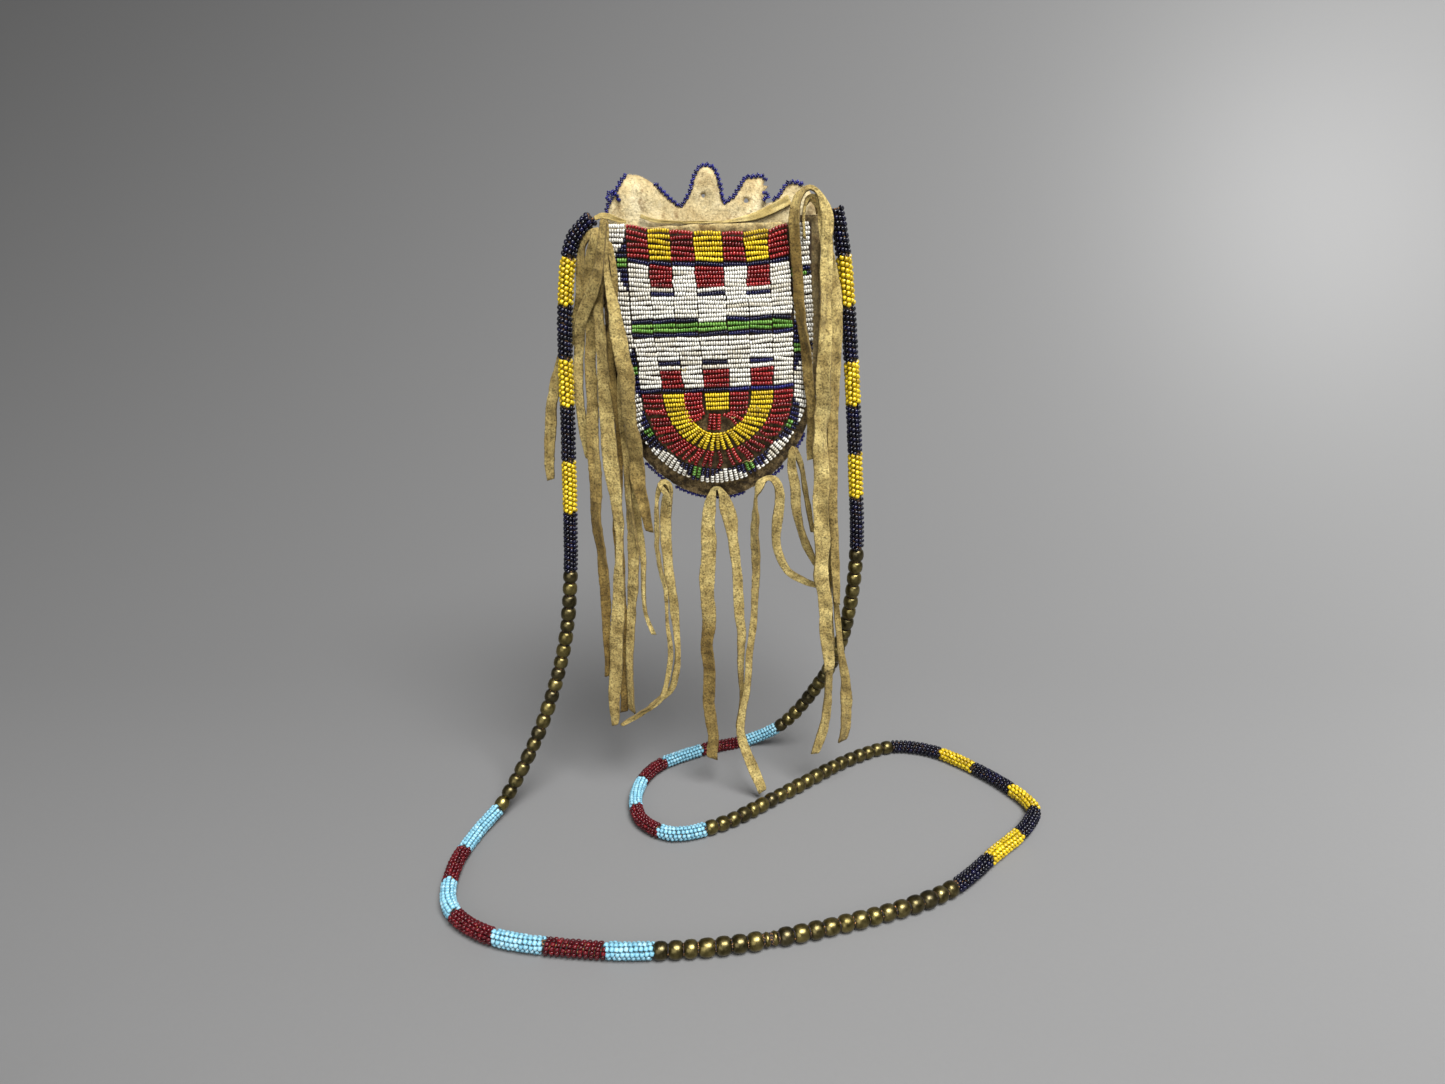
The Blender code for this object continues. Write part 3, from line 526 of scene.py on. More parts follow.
# Colours of the bands, in turn, and their lengths
ROPE_BANDS = {
    "rope_a1": (NAVY_ROPE, (18.8, 19.1, 21.7, 20.2, 23.7, 24.0, 27.9)),
    "rope_c1": (BLUE_ROPE, (27.0, 21.0, 19.7, 22.1, 20.5, 23.8, 17.9)),
    "rope_e": (NAVY_ROPE, (24.9, 25.1, 22.4, 18.5, 22.6, 19.2, 26.3)),
    "rope_c2": (BLUE_ROPE, (21.4, 22.2, 22.0, 19.2, 22.8, 25.3, 21.1)),
    "rope_a2": (NAVY_ROPE, (24.0, 20.2, 21.0, 18.8, 22.3, 20.2, 17.4)),
}
BRASS_COUNTS = {"brass_string_1": 20, "brass_string_2": 21, "brass_string_3": 20, "brass_string_4": 21}
BRASS_PITCH = 6.1
BRASS_RADIUS = 3.5
BRASS_SIDES = 24
RIDGED_BEAD = ("brass_string_2", 7)
RIDGED_WIDTH = 0.88
CORE_RADIUS = 2.26
# How far the seed beads' middles are from the strap's centreline
SEED_AT = 2.4


def strap_frames(step=0.5):
    """The strap's centreline with two crossways directions carried along it without twist."""
    line = smooth_path(STRAP_ROUTE, step)
    along = unit(np.gradient(line, axis=0))
    side = np.zeros_like(along)
    current = unit(np.cross(along[0], (0.0, 1.0, 0.0)))
    for k, direction in enumerate(along):
        current = unit(current - direction * np.dot(current, direction))
        side[k] = current
    return run_of(line), line, along, side, np.cross(along, side)


STRAP_RUN, *STRAP_FRAMES = strap_frames()


def strap_at(places):
    """The strap's middle, its direction and its two crossways directions at places along it."""
    return [values_at(places, STRAP_RUN, values) for values in STRAP_FRAMES]


# How each colour's beads are wound: beads a turn, pitch, bead radius, rows climbed a turn, staggered
WINDING = {
    "navy": (10, 2.20, 0.94, -2, False),
    "yellow": (9, 2.20, 1.00, -3, False),
    "light_blue": (9, 1.86, 0.90, -2, True),
    "dark_red": (11, 2.08, 0.97, -1, False),
}
WOUND_PROFILE = ((-0.60, 0.0), (-1.0, 0.52), (-0.62, 0.97), (0.62, 0.97), (1.0, 0.52), (0.60, 0.0))
# How dark the wound beads' end rings are made: dirt, and painted shade between the beads
WOUND_DIRT_AND_SHADE = 0.55


def wound_band(store, colour, start, end, seed):
    """One band of seed beads wound round the strap's core."""
    rng = np.random.default_rng(seed)
    columns, pitch, radius, climb, staggered = WINDING[colour]
    rows = max(1, round((end - start) / pitch))
    pitch = (end - start) / rows
    column, row = (grid.ravel() for grid in np.meshgrid(np.arange(columns), np.arange(-3, rows + 4)))
    turn = 2 * math.pi * column / columns
    stagger = 0.5 * (column % 2) if staggered else 0.0
    place = start + (row + 0.5 + climb * column / columns + stagger) * pitch
    keep = (place > start + 0.25 * pitch) & (place < end + 0.1 * pitch)
    turn, place = turn[keep], place[keep]
    count = len(place)
    place = place + rng.normal(0, 0.07, count)
    turn = turn + 0.10 * np.sin(place / 9.0 + seed) + rng.normal(0, 0.025, count)
    middle, along, side, face = strap_at(place)
    out, around = turned_by(side, face, turn)
    slope = climb * pitch / (2 * math.pi * SEED_AT)
    axes = around + along * (slope + rng.normal(0, 0.05, count))[:, None]
    sizes = radius * rng.normal(1.0, 0.035, count)
    half = math.pi * (SEED_AT + 0.25) / columns * 0.99
    centres = middle + out * (SEED_AT + rng.normal(0, 0.06, count))[:, None]
    halves = half * rng.normal(1.0, 0.03, count)
    store.add(centres, axes, sizes, halves, capped(rng.normal(0.5, 0.2, count)))


BRASS_PROFILE = ((-0.80, 0.0), (-0.86, 0.34), (-0.98, 0.50), (-0.90, 0.72), (-0.62, 0.92), (-0.25, 1.0),
                 (0.25, 1.0), (0.62, 0.92), (0.90, 0.72), (0.98, 0.50), (0.86, 0.34), (0.80, 0.0))
RIDGED_PROFILE = ((-0.80, 0.0), (-0.90, 0.45), (-0.86, 0.78), (-0.55, 0.92), (-0.30, 0.86), (-0.12, 0.60),
                  (0.12, 0.60), (0.30, 0.86), (0.55, 0.92), (0.86, 0.78), (0.90, 0.45), (0.80, 0.0))


def brass_string(name, start, rng):
    """A string of brass beads from a place along the strap, one of which may be ridged."""
    plain, ridged = Beads(), Beads()
    count = BRASS_COUNTS[name]
    shares = rng.normal(1.0, 0.06, count)
    edges = start + np.concatenate(([0.0], np.cumsum(shares / shares.sum()))) * count * BRASS_PITCH
    for k in range(count):
        middle, along, side, face = strap_at([(edges[k] + edges[k + 1]) / 2])
        axis = along + side * rng.normal(0, 0.03) + face * rng.normal(0, 0.03)
        radius = BRASS_RADIUS * min(1.0, rng.normal(0.975, 0.02))
        half = (edges[k + 1] - edges[k]) / 2
        store, width = (ridged, RIDGED_WIDTH) if (name, k) == RIDGED_BEAD else (plain, 1.0)
        store.add(middle, axis, [radius * width], [half], [rng.uniform(0.0, 1.0)])
    pieces = []
    for store, piece_name, profile in ((plain, f"{name}_beads", BRASS_PROFILE),
                                       (ridged, "ridged_bead", RIDGED_PROFILE)):
        if store.parts:
            pieces.append(store.piece(piece_name, BRASS, (name,), "aged_brass", profile=profile,
                                      sides=BRASS_SIDES))
    return pieces


def strap_core():
    """The thread inside the beads, as a curve as long as the strap."""
    knots = np.array(STRAP_ROUTE, float)
    times = knot_times(knots)
    slopes, spans = np.gradient(knots, times, axis=0), np.diff(times)
    curve = bpy.data.curves.new("strap_core", "CURVE")
    curve.dimensions = "3D"
    curve.resolution_u = 10
    curve.bevel_depth = CORE_RADIUS * MM
    curve.bevel_resolution = 3
    curve.use_fill_caps = True
    spline = curve.splines.new("BEZIER")
    spline.bezier_points.add(len(knots) - 1)
    for k, point in enumerate(spline.bezier_points):
        point.co = knots[k] * MM
        point.handle_left = (knots[k] - slopes[k] * spans[max(k - 1, 0)] / 3) * MM
        point.handle_right = (knots[k] + slopes[k] * spans[min(k, len(spans) - 1)] / 3) * MM
    curve.materials.append(THREAD)
    core = new_object("strap_core", curve)
    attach(core, "root")
    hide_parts(*STRAP_NODES)
    return core


# Each colour of seed bead on the strap: its glass, the nodes it helps to stand for and its slot
WOUND = {
    "navy": (STRAP_NAVY, ("rope_a1", "rope_e", "rope_a2"), "navy"),
    "yellow": (YELLOW, ("rope_a1", "rope_e", "rope_a2"), "yellow"),
    "light_blue": (LIGHT_BLUE, ("rope_c1", "rope_c2"), "light_blue"),
    "dark_red": (DARK_RED, ("rope_c1", "rope_c2"), "red"),
}


def strap():
    core = strap_core()
    stores = {colour: Beads() for colour in WOUND}
    rng = np.random.default_rng(41)
    strings = []
    start, seed = 0.0, 100
    for name in STRAP_NODES:
        if name in BRASS_COUNTS:
            strings += brass_string(name, start, rng)
            start += BRASS_COUNTS[name] * BRASS_PITCH
            continue
        colours, lengths = ROPE_BANDS[name]
        if name == STRAP_NODES[-1]:
            lengths = (*lengths[:-1], STRAP_RUN[-1] - start - sum(lengths[:-1]))
        for k, length in enumerate(lengths):
            wound_band(stores[colours[k % 2]], colours[k % 2], start, start + length, seed)
            start, seed = start + length, seed + 1
    for colour, (made, nodes, slot) in WOUND.items():
        stores[colour].piece(f"strap_{colour}_beads", made, nodes, slot,
                                          profile=WOUND_PROFILE, dirt=WOUND_DIRT_AND_SHADE)


strap()

# Beadwork on the face

# How far the top rows have sagged, at places across the face
TOP_SAG = ((-37.5, -2.8), (-29.0, 0.0), (-10.0, 2.5), (20.0, 3.9), (37.5, -0.2))
SAG_FADE = 34.0
LOW_SAG = 0.9
TOP_CREEP = 0.8
LOW_CREEP = 2.2
BEAD_RADIUS = 0.85
BEAD_LENGTH = 1.03
RED_LENGTH = 1.2
BEAD_LIFT = 0.3
BEAD_SIZES = {"red": 0.99, "navy": 0.90, "royal": 0.90, "green": 0.95, "yellow": 0.99}
PANEL = {name: Beads() for name in ("white", "border_white", "red", "yellow", "navy", "royal", "green")}


def warp(u, w, outer=1.0):
    """Where the beadwork has sagged and crept, against the even layout."""
    u, w = np.asarray(u, float), np.asarray(w, float)
    top = capped(1.0 - (BEADS_TOP - w) / SAG_FADE)
    low = capped((-w - 42.0) / 22.0) * capped((w + 98.0) / 20.0)
    drop = np.interp(u, *zip(*TOP_SAG)) * top + LOW_SAG * low
    shift = -TOP_CREEP * (1.0 + u / 33.0) * top + LOW_CREEP * capped((3.0 - u) / 18.0) * low
    spread = np.interp(w, (-44.0, -28.0, -14.0, -2.0), (0.0, 0.0, -0.55, 1.1))
    return u + shift * outer, w + (spread - drop) * outer


def bead_length(colour):
    return RED_LENGTH if colour == "red" else BEAD_LENGTH


def bead_row(start, end, colours, rng, hump=0.3, bow=0.0, loose=1.0):
    """One row of beads on the hide, from start to end, each a (u, w) point."""
    start, end = np.asarray(start, float), np.asarray(end, float)
    count = len(colours)
    length = float(np.linalg.norm(end - start))
    across = (end - start) / length
    t = (np.arange(count) + 0.5) / count
    arch = 1.0 - (2 * t - 1) ** 2
    creep = rng.normal(0, 0.05 * loose, count) + bow * arch
    u = start[0] + (end[0] - start[0]) * t - across[1] * creep
    w = start[1] + (end[1] - start[1]) * t + across[0] * creep
    centres = on_front(u, w, BEAD_LIFT + BEAD_RADIUS + hump * arch + rng.normal(0, 0.04, count))
    axes = np.gradient(centres, axis=0) if count > 1 else on_front(*end) - on_front(*start)
    axes = unit(np.atleast_2d(axes)) + rng.normal(0, 0.07 * loose, (count, 3))
    radii = BEAD_RADIUS * rng.normal(1.0, 0.045, count)
    halves = length / count / 2 * rng.normal(0.97, 0.03, count)
    tones = capped(rng.normal(0.5, 0.2) + rng.normal(0, 0.13, count))
    colours = np.array(colours)
    for colour in set(colours.tolist()):
        chosen = colours == colour
        sizes = radii[chosen] * BEAD_SIZES.get(colour, 1.0)
        PANEL[colour].add(centres[chosen], axes[chosen], sizes, halves[chosen], tones[chosen])


# Colours of the lanes' rows from the top down, and the rows that break the rule, as (lane, row)
BAND = ("navy", "green", "green", "navy")
OUTER_LANE = ("red",) * 6 + ("navy",) + ("white",) * 12 + BAND + ("white",) * 11 + ("navy",)
INNER_LANE = ("yellow",) * 6 + ("navy",) + ("red",) * 5 + ("white", "navy") + ("white",) * 5 + BAND
INNER_LANE += ("white",) * 5 + ("navy", "white") + ("red",) * 4 + ("navy",)
ODD_ROWS = {(3, 19): "white", (4, 34): "royal", (5, 34): "royal", (6, 34): "royal"}


def vertical_lanes():
    rng = np.random.default_rng(7)
    for lane in range(len(LANE_EDGES) - 1):
        left_edge, right_edge = wave(lane + 20, 14.0), wave(lane + 21, 14.0)
        rise = wave(lane + 40, 11.0)
        for row, colour in enumerate(INNER_LANE if lane % 2 else OUTER_LANE):
            colour = ODD_ROWS.get((lane, row), colour)
            w = BEADS_TOP - (row + 0.5) * ROW_PITCH
            left = LANE_EDGES[lane] + 0.12 + 0.16 * left_edge(w) + rng.normal(0, 0.12)
            right = LANE_EDGES[lane + 1] - 0.12 + 0.16 * right_edge(w) + rng.normal(0, 0.12)
            tilt = 0.18 * rise(w) + rng.normal(0, 0.09)
            start, end = warp(left, w - tilt), warp(right, w + tilt)
            count = round((right - left) / bead_length(colour) + rng.normal(0, 0.3))
            droop = 0.35 * math.exp(-row / 2.0) + rng.normal(0, 0.05)
            bead_row(start, end, [colour] * count, rng, bow=droop)


def radial_rows(inner, outer, rows, colour, seed, leads, bend, loose, skip=()):
    """Rows across a lane that runs round a U, level at its arms and fanned at its bends."""
    rng = np.random.default_rng(seed)
    shares = (np.arange(rows) + 0.5) / rows
    lines = []
    for (left, right, bottom), inset, lead in ((outer, -0.2, leads[0]), (inner, 0.2, leads[1])):
        line = u_curve((right - left) / 2 + inset, U_TOP, U_TOP, bottom - inset, 241, (left + right) / 2)
        lines.append(on_line(line, shares + lead * np.sin(2 * math.pi * shares)))
    sway = wave(seed, 5.0)
    for k, (out, near) in enumerate(zip(*lines)):
        if k in skip:
            continue
        middle = (out + near) / 2
        steep = min(1.0, max(0.0, (U_TOP - middle[1]) / 14.0))
        slide = 0.35 * loose * steep * rng.normal(0, 1, 2)
        trim = 1.0 - 0.05 * loose * steep * abs(rng.normal())
        near = np.array(warp(*(near + slide * 0.4)))
        out = np.array(warp(*(near_to(near, out, trim) + slide)))
        length = float(np.linalg.norm(out - near))
        count = max(3, round(length / bead_length(colour) + rng.normal(0, 0.35)))
        bow = bend * steep * sway(k * 1.7) * loose + rng.normal(0, 0.06)
        bead_row(near, out, [colour] * count, rng, hump=0.45, bow=bow, loose=1.0 + 0.6 * steep)


# Rows of red beads round the centre, from their inner ends to their outer ones, and how far each bows
CENTRE_REDS = (
    ((-5.3, -67.3), (-12.9, -67.2), 0.1), ((-5.3, -68.9), (-13.1, -69.1), 0.1),
    ((-5.4, -70.5), (-13.1, -71.1), 0.1), ((-5.3, -72.1), (-13.0, -73.1), 0.2),
    ((-4.8, -73.6), (-13.0, -75.1), 0.3), ((-4.6, -75.2), (-12.7, -77.1), 0.4),
    ((-6.0, -77.0), (-11.9, -78.9), 0.4),
    ((6.2, -67.6), (14.0, -67.8), -0.1), ((6.1, -69.6), (13.9, -69.7), 0.1),
    ((6.0, -71.6), (13.7, -71.7), -0.1), ((6.0, -73.6), (13.5, -73.6), -0.2),
    ((5.9, -75.4), (13.2, -75.6), -0.3), ((4.7, -76.2), (11.4, -79.0), 0.7),
    ((2.9, -76.4), (8.4, -80.7), 0.9),
    ((-2.1, -75.6), (-3.2, -82.6), 0.15), ((-0.4, -75.6), (-1.0, -83.0), -0.15),
    ((1.3, -75.8), (0.8, -82.8), 0.2),
)
RED_U_ROWS = 39
RED_U_LOST = (20, 28)
YELLOW_U_ROWS = 31
CENTRE_ROWS = 4
CENTRE_BEADS = 10


def u_lanes():
    fan = (LANE_EDGES[2], LANE_EDGES[5], FAN_BOTTOM)
    yellow = (LANE_EDGES[1], LANE_EDGES[6], YELLOW_BOTTOM)
    red = (LANE_EDGES[0], LANE_EDGES[7], RED_BOTTOM)
    radial_rows(yellow, red, RED_U_ROWS, "red", 51, (-0.043, -0.003), loose=1.1, bend=0.5, skip=RED_U_LOST)
    radial_rows(fan, yellow, YELLOW_U_ROWS, "yellow", 52, (-0.038, 0.018), loose=0.5, bend=0.35)
    rng = np.random.default_rng(56)
    for near, out, bow in CENTRE_REDS:
        length = math.dist(near, out)
        bead_row(near, out, ["red"] * round(length / RED_LENGTH), rng, hump=0.35, bow=bow)
    for row in range(CENTRE_ROWS):
        w = U_TOP - (row + 0.5) * ROW_PITCH * 1.02
        start, end = warp(-5.3 + 0.12 * row, w), warp(5.8 - 0.1 * row, w)
        bead_row(start, end, ["yellow"] * CENTRE_BEADS, rng)


BORDER_ROWS = 127
LINE_POINTS = 401
# Places of the stepped motifs along the border, and how many navy beads each row beside one begins with
MOTIF_PLACES = (0.0625, 0.247, 0.357, 0.461, 0.562, 0.658, 0.795, 0.925)
NAVY_STEPS = {-4: 1, -3: 2, -2: 3, -1: 4, 2: 4, 3: 4, 4: 3, 5: 2, 6: 1}


def border_lane():
    rng = np.random.default_rng(61)
    shares = (np.arange(BORDER_ROWS) + 0.5) / BORDER_ROWS
    outer = u_curve(BORDER_HALF, BEADS_TOP, SHOULDER, BORDER_BOTTOM, LINE_POINTS)
    inner = u_curve(LANES_HALF + 0.35, BEADS_TOP, LANES_BOTTOM, RED_BOTTOM - LANE_GAP, LINE_POINTS, -0.05)
    outer = resample(np.stack(warp(*outer.T, 0.8), axis=1), LINE_POINTS)
    inner = resample(np.stack(warp(*inner.T), axis=1), LINE_POINTS)
    outer = on_line(outer, shares - 0.0145 * np.sin(2 * math.pi * shares))
    inner = on_line(inner, shares)
    ragged = wave(62, 8.0)
    for k in range(BORDER_ROWS):
        far = outer[k] + rng.normal(0, 0.12, 2)
        near = inner[k] + rng.normal(0, 0.1, 2)
        far = near_to(near, far, 1.0 - 0.03 * abs(ragged(k * 1.8)) - 0.02 * abs(rng.normal()))
        length = float(np.linalg.norm(far - near))
        count = max(4, round(length / (BEAD_LENGTH * 1.02) + rng.normal(0, 0.25)))
        colours = ["border_white"] * count
        for share in MOTIF_PLACES:
            distance = k - round(share * BORDER_ROWS - 1)
            if distance in (0, 1):
                green = round(count * 0.62 + rng.normal(0, 0.4))
                colours = ["green"] * green + ["navy"] * (count - green)
            elif distance in NAVY_STEPS:
                steps = min(count, max(1, NAVY_STEPS[distance] + round(rng.normal(0, 0.35))))
                colours = ["navy"] * steps + ["border_white"] * (count - steps)
        bead_row(near, far, colours, rng, hump=0.3, bow=rng.normal(0, 0.1))


vertical_lanes()
u_lanes()
border_lane()
LANE_NODES = tuple(f"lane_{k}" for k in range(1, len(LANE_EDGES)))
U_NODES = ("red_u_lane", "yellow_u_lane", "inner_red_left", "inner_red_right", "red_fan",
           "centre_yellow_rows")
BORDER_NODE = ("border_lane",)
for colour, made, name, nodes, slot in (
        ("white", WHITE, "lane_white_beads", LANE_NODES, "white"),
        ("border_white", WHITE, "border_white_beads", BORDER_NODE, "white"),
        ("red", RED, "red_beads", LANE_NODES + U_NODES, "red"),
        ("yellow", YELLOW, "yellow_beads", LANE_NODES + U_NODES, "yellow"),
        ("navy", NAVY, "navy_beads", LANE_NODES + BORDER_NODE, "navy"),
        ("royal", ROYAL, "royal_beads", LANE_NODES, "navy"),
        ("green", GREEN, "green_beads", LANE_NODES + BORDER_NODE, "navy")):
    PANEL[colour].piece(name, made, nodes, slot)

# Hide panels

# The back hide's top edge from left to right, as shares of its half width and heights
CORNER = ((-1.0, -6.0), (-0.965, 1.0))
LOBES = (
    ((-0.905, 5.2), (-0.88, 8.1), (-0.822, 11.8), (-0.782, 14.4), (-0.75, 16.9), (-0.695, 19.5),
     (-0.66, 19.3), (-0.60, 18.9), (-0.53, 17.2), (-0.476, 15.4), (-0.413, 12.5), (-0.336, 9.2),
     (-0.251, 6.4)),
    ((-0.251, 6.4), (-0.187, 9.1), (-0.144, 12.4), (-0.114, 16.5), (-0.066, 20.3), (-0.004, 21.3),
     (0.049, 20.2), (0.079, 17.4), (0.104, 13.7), (0.137, 7.3)),
    ((0.137, 7.3), (0.226, 9.0), (0.292, 12.5), (0.350, 16.3), (0.397, 16.4), (0.456, 16.7), (0.498, 16.0),
     (0.508, 14.6), (0.490, 13.7), (0.538, 13.0), (0.506, 11.6), (0.497, 10.2), (0.512, 8.0), (0.517, 6.6)),
    ((0.517, 6.6), (0.585, 7.3), (0.648, 9.5), (0.69, 12.3), (0.73, 13.6), (0.79, 13.5),
     (0.84, 12.8), (0.90, 10.8), (0.96, 6.3), (1.0, -3.0)),
)
# Worn holes in it, each with a radius too
SMALL_HOLES = ((-0.04, 10.4, 0.7), (0.34, 7.9, 0.9))
HOLE_SIDES = 14
OUTLINE_POINTS = 520
FAR = 9.0


def on_hide(points):
    """Points across the hide, from shares of its half width and heights."""
    return [(share * HIDE_HALF, height) for share, height in points]


def inside(points, polygon):
    """Which of the points lie inside a polygon."""
    x, y = points[:, 0], points[:, 1]
    found = np.zeros(len(points), bool)
    for (x1, y1), (x2, y2) in zip(polygon, np.roll(polygon, -1, axis=0)):
        crosses = (y1 > y) != (y2 > y)
        with np.errstate(divide="ignore", invalid="ignore"):
            found ^= crosses & (x < (x2 - x1) * (y - y1) / (y2 - y1) + x1)
    return found


def distance_to(points, line):
    """How far each point is from a line's points."""
    nearest = np.full(len(points), 1e9)
    for place in line:
        nearest = np.minimum(nearest, np.hypot(points[:, 0] - place[0], points[:, 1] - place[1]))
    return nearest


def back_shape(u, w):
    """How far the middle of the back hide stands behind the seam: wavy where it is free."""
    free = capped((w + 4.0) / 14.0)
    wavy = 0.5 * ripple(71, 26.0)(u, w) + 0.16 * ripple(72, 7.0)(u, w)
    curl = 1.2 * capped((w - 10.0) / 12.0) ** 2
    return HIDE_THICKNESS / 2 + free * (wavy + curl)


def back_outline():
    """The back hide's edge, a little ragged."""
    edge = [np.array(on_hide(CORNER))]
    for lobe in LOBES:
        edge.append(smooth_path(on_hide(lobe), 0.7)[:-1])
    around = u_curve(HIDE_HALF, SHOULDER, SHOULDER, HIDE_BOTTOM, 150)[::-1]
    outline = np.concatenate([*edge, [(HIDE_HALF, -3.0)], around])
    outline = resample(np.concatenate([outline, outline[:1]]), OUTLINE_POINTS)[:-1]
    outward = unit(outline - np.array((0.0, -30.0)))
    ragged = 0.12 * np.abs(wave(73, 2.3)(np.arange(len(outline)) * 0.75))
    return outline - outward * ragged[:, None]


def hole_rings():
    """The edges of the worn holes."""
    turn = round_turn(HOLE_SIDES)
    rings = []
    for share, height, radius in SMALL_HOLES:
        middle = np.array((share * HIDE_HALF, height))
        wobble = 1.0 + 0.12 * np.sin(3 * turn + share * 9)
        rings.append(middle + radius * wobble[:, None] * np.stack([np.cos(turn), np.sin(turn)], axis=1))
    return rings


def inner_points(outline, pitch=1.5):
    """A grid of points at the corners of triangles, inside the outline and clear of the holes."""
    grid_u, grid_w = np.meshgrid(np.arange(-46, 46, pitch), np.arange(-115, 24, pitch * 0.866))
    grid_u = grid_u + (np.arange(len(grid_u)) % 2)[:, None] * pitch / 2
    grid = np.stack([grid_u.ravel(), grid_w.ravel()], axis=1)
    grid = grid[inside(grid, outline)]
    grid = grid[distance_to(grid, outline) > pitch / 2]
    for share, height, radius in SMALL_HOLES:
        middle = np.array((share * HIDE_HALF, height))
        grid = grid[np.hypot(*(grid - middle).T) > radius + 0.7]
    return grid


def triangles(outline, rings, grid):
    """The hide laid flat: its points and its faces, all turned one way, with the holes left open."""
    edges, first = [], 0
    for loop in (outline, *rings):
        edges += [(first + k, first + (k + 1) % len(loop)) for k in range(len(loop))]
        first += len(loop)
    points = [Vector(p) for p in np.concatenate([outline, *rings, grid])]
    flat, _, faces, _, _, _ = geometry.delaunay_2d_cdt(points, edges, [], 0, 1e-5)
    flat = np.array([tuple(p) for p in flat])
    faces = np.array([f for f in faces if len(f) == 3])
    middles = flat[faces].mean(axis=1)
    keep = inside(middles, outline)
    for ring in rings:
        keep &= ~inside(middles, ring)
    faces = faces[keep]
    a, b, c = (flat[faces[:, k]] for k in range(3))
    turned = ((b[:, 0] - a[:, 0]) * (c[:, 1] - a[:, 1]) - (b[:, 1] - a[:, 1]) * (c[:, 0] - a[:, 0])) < 0
    faces[turned] = faces[turned][:, ::-1]
    return flat, faces


def back_panel():
    """The back hide, thinner at its edges, with walls round its outline and its holes."""
    outline, rings = back_outline(), hole_rings()
    flat, faces = triangles(outline, rings, inner_points(outline))
    u, w = flat[:, 0], flat[:, 1]
    rim = np.minimum(distance_to(flat, outline), FAR)
    for ring in rings:
        rim = np.minimum(rim, distance_to(flat, ring))
    thick = HIDE_THICKNESS / 2 * (0.45 + 0.55 * capped(rim / 0.9))
    depth = back_shape(u, w)
    both = np.concatenate([in_frame(u, depth - thick, w), in_frame(u, depth + thick, w)])
    directed = np.concatenate([faces[:, [0, 1]], faces[:, [1, 2]], faces[:, [2, 0]]])
    known = {(int(p), int(q)) for p, q in directed}
    border = sorted((p, q) for p, q in known if (q, p) not in known)
    count = len(flat)
    walls = np.array([(q, p, p + count, q + count) for p, q in border])
    edge = np.tile(0.75 * capped(1.0 - rim / 0.8), 2)
    mesh_piece("back_hide", both, [faces, faces[:, ::-1] + count, walls], BACK_HIDE, ("back_panel",),
               {"edge": edge})


# Where the brown hide shows between the rows round the fan, as (u, w, reach)
WORN_SPOTS = ((-7.5, -79.5, 3.4), (8.5, -79.5, 3.0), (24.0, -87.0, 4.2), (4.0, -93.5, 2.6))


def pale_and_lit_share(u, w, uneven):
    """How pale the front hide is: clean at its mouth, and less so at its right rim, as painted light where a
    thong shades it.
    """
    mouth = capped((w + 4.4 + 0.5 * uneven) / 2.0) * capped((35.0 - u) / 2.0)
    # The right rim is made paler as painted light, against the shade of the thong over it
    return np.maximum(mouth, 0.45 * capped((u - 39.5) / 2.0) * capped((w + 75.0) / 20.0))


def under_beads(u, w):
    """How far the beads shade the front hide: nearly not where they are worn off."""
    low = np.minimum(w - SHOULDER, 0.0) / (SHOULDER - BORDER_BOTTOM)
    first_row = BEADS_TOP + 1.0 - np.interp(u, *zip(*TOP_SAG))
    outside = np.maximum(BORDER_HALF * (np.hypot(u / BORDER_HALF, low) - 1.0), w - first_row)
    bead_shade = capped(-outside / 0.7) * np.clip(1.0 - (-70.0 - w) / 8.0, 0.45, 1.0)
    for spot_u, spot_w, reach in WORN_SPOTS:
        bead_shade = bead_shade * (1.0 - np.exp(-(np.hypot(u - spot_u, w - spot_w) / reach) ** 4))
    return bead_shade


def front_levels(straight=46, rounded=60):
    """The front hide's levels from the mouth down to the rim, as (w, half width) pairs."""
    levels = [(FRONT_TOP + (SHOULDER - FRONT_TOP) * k / straight, HIDE_HALF) for k in range(straight)]
    for k in range(rounded):
        turn = math.pi / 2 * k / rounded
        levels.append((SHOULDER - (SHOULDER - HIDE_BOTTOM) * math.sin(turn), HIDE_HALF * math.cos(turn)))
    return levels


def shell_faces(rows, across):
    """Faces of a grid and of its like behind it, joined along their four sides."""
    columns = across + 1
    count, last = rows * columns, (rows - 1) * columns
    row, column = np.meshgrid(np.arange(rows - 1), np.arange(across), indexing="ij")
    a = (row * columns + column).ravel()
    quads = np.stack([a, a + columns, a + columns + 1, a + 1], axis=1)
    k = np.arange(across)
    top = np.stack([k, k + 1, k + 1 + count, k + count], axis=1)
    bottom = np.stack([last + k, last + k + count, last + k + 1 + count, last + k + 1], axis=1)
    r = np.arange(rows - 1) * columns
    left = np.stack([r, r + count, r + columns + count, r + columns], axis=1)
    r = r + across
    right = np.stack([r, r + columns, r + columns + count, r + count], axis=1)
    return [quads, quads[:, ::-1] + count, top, bottom, left, right]


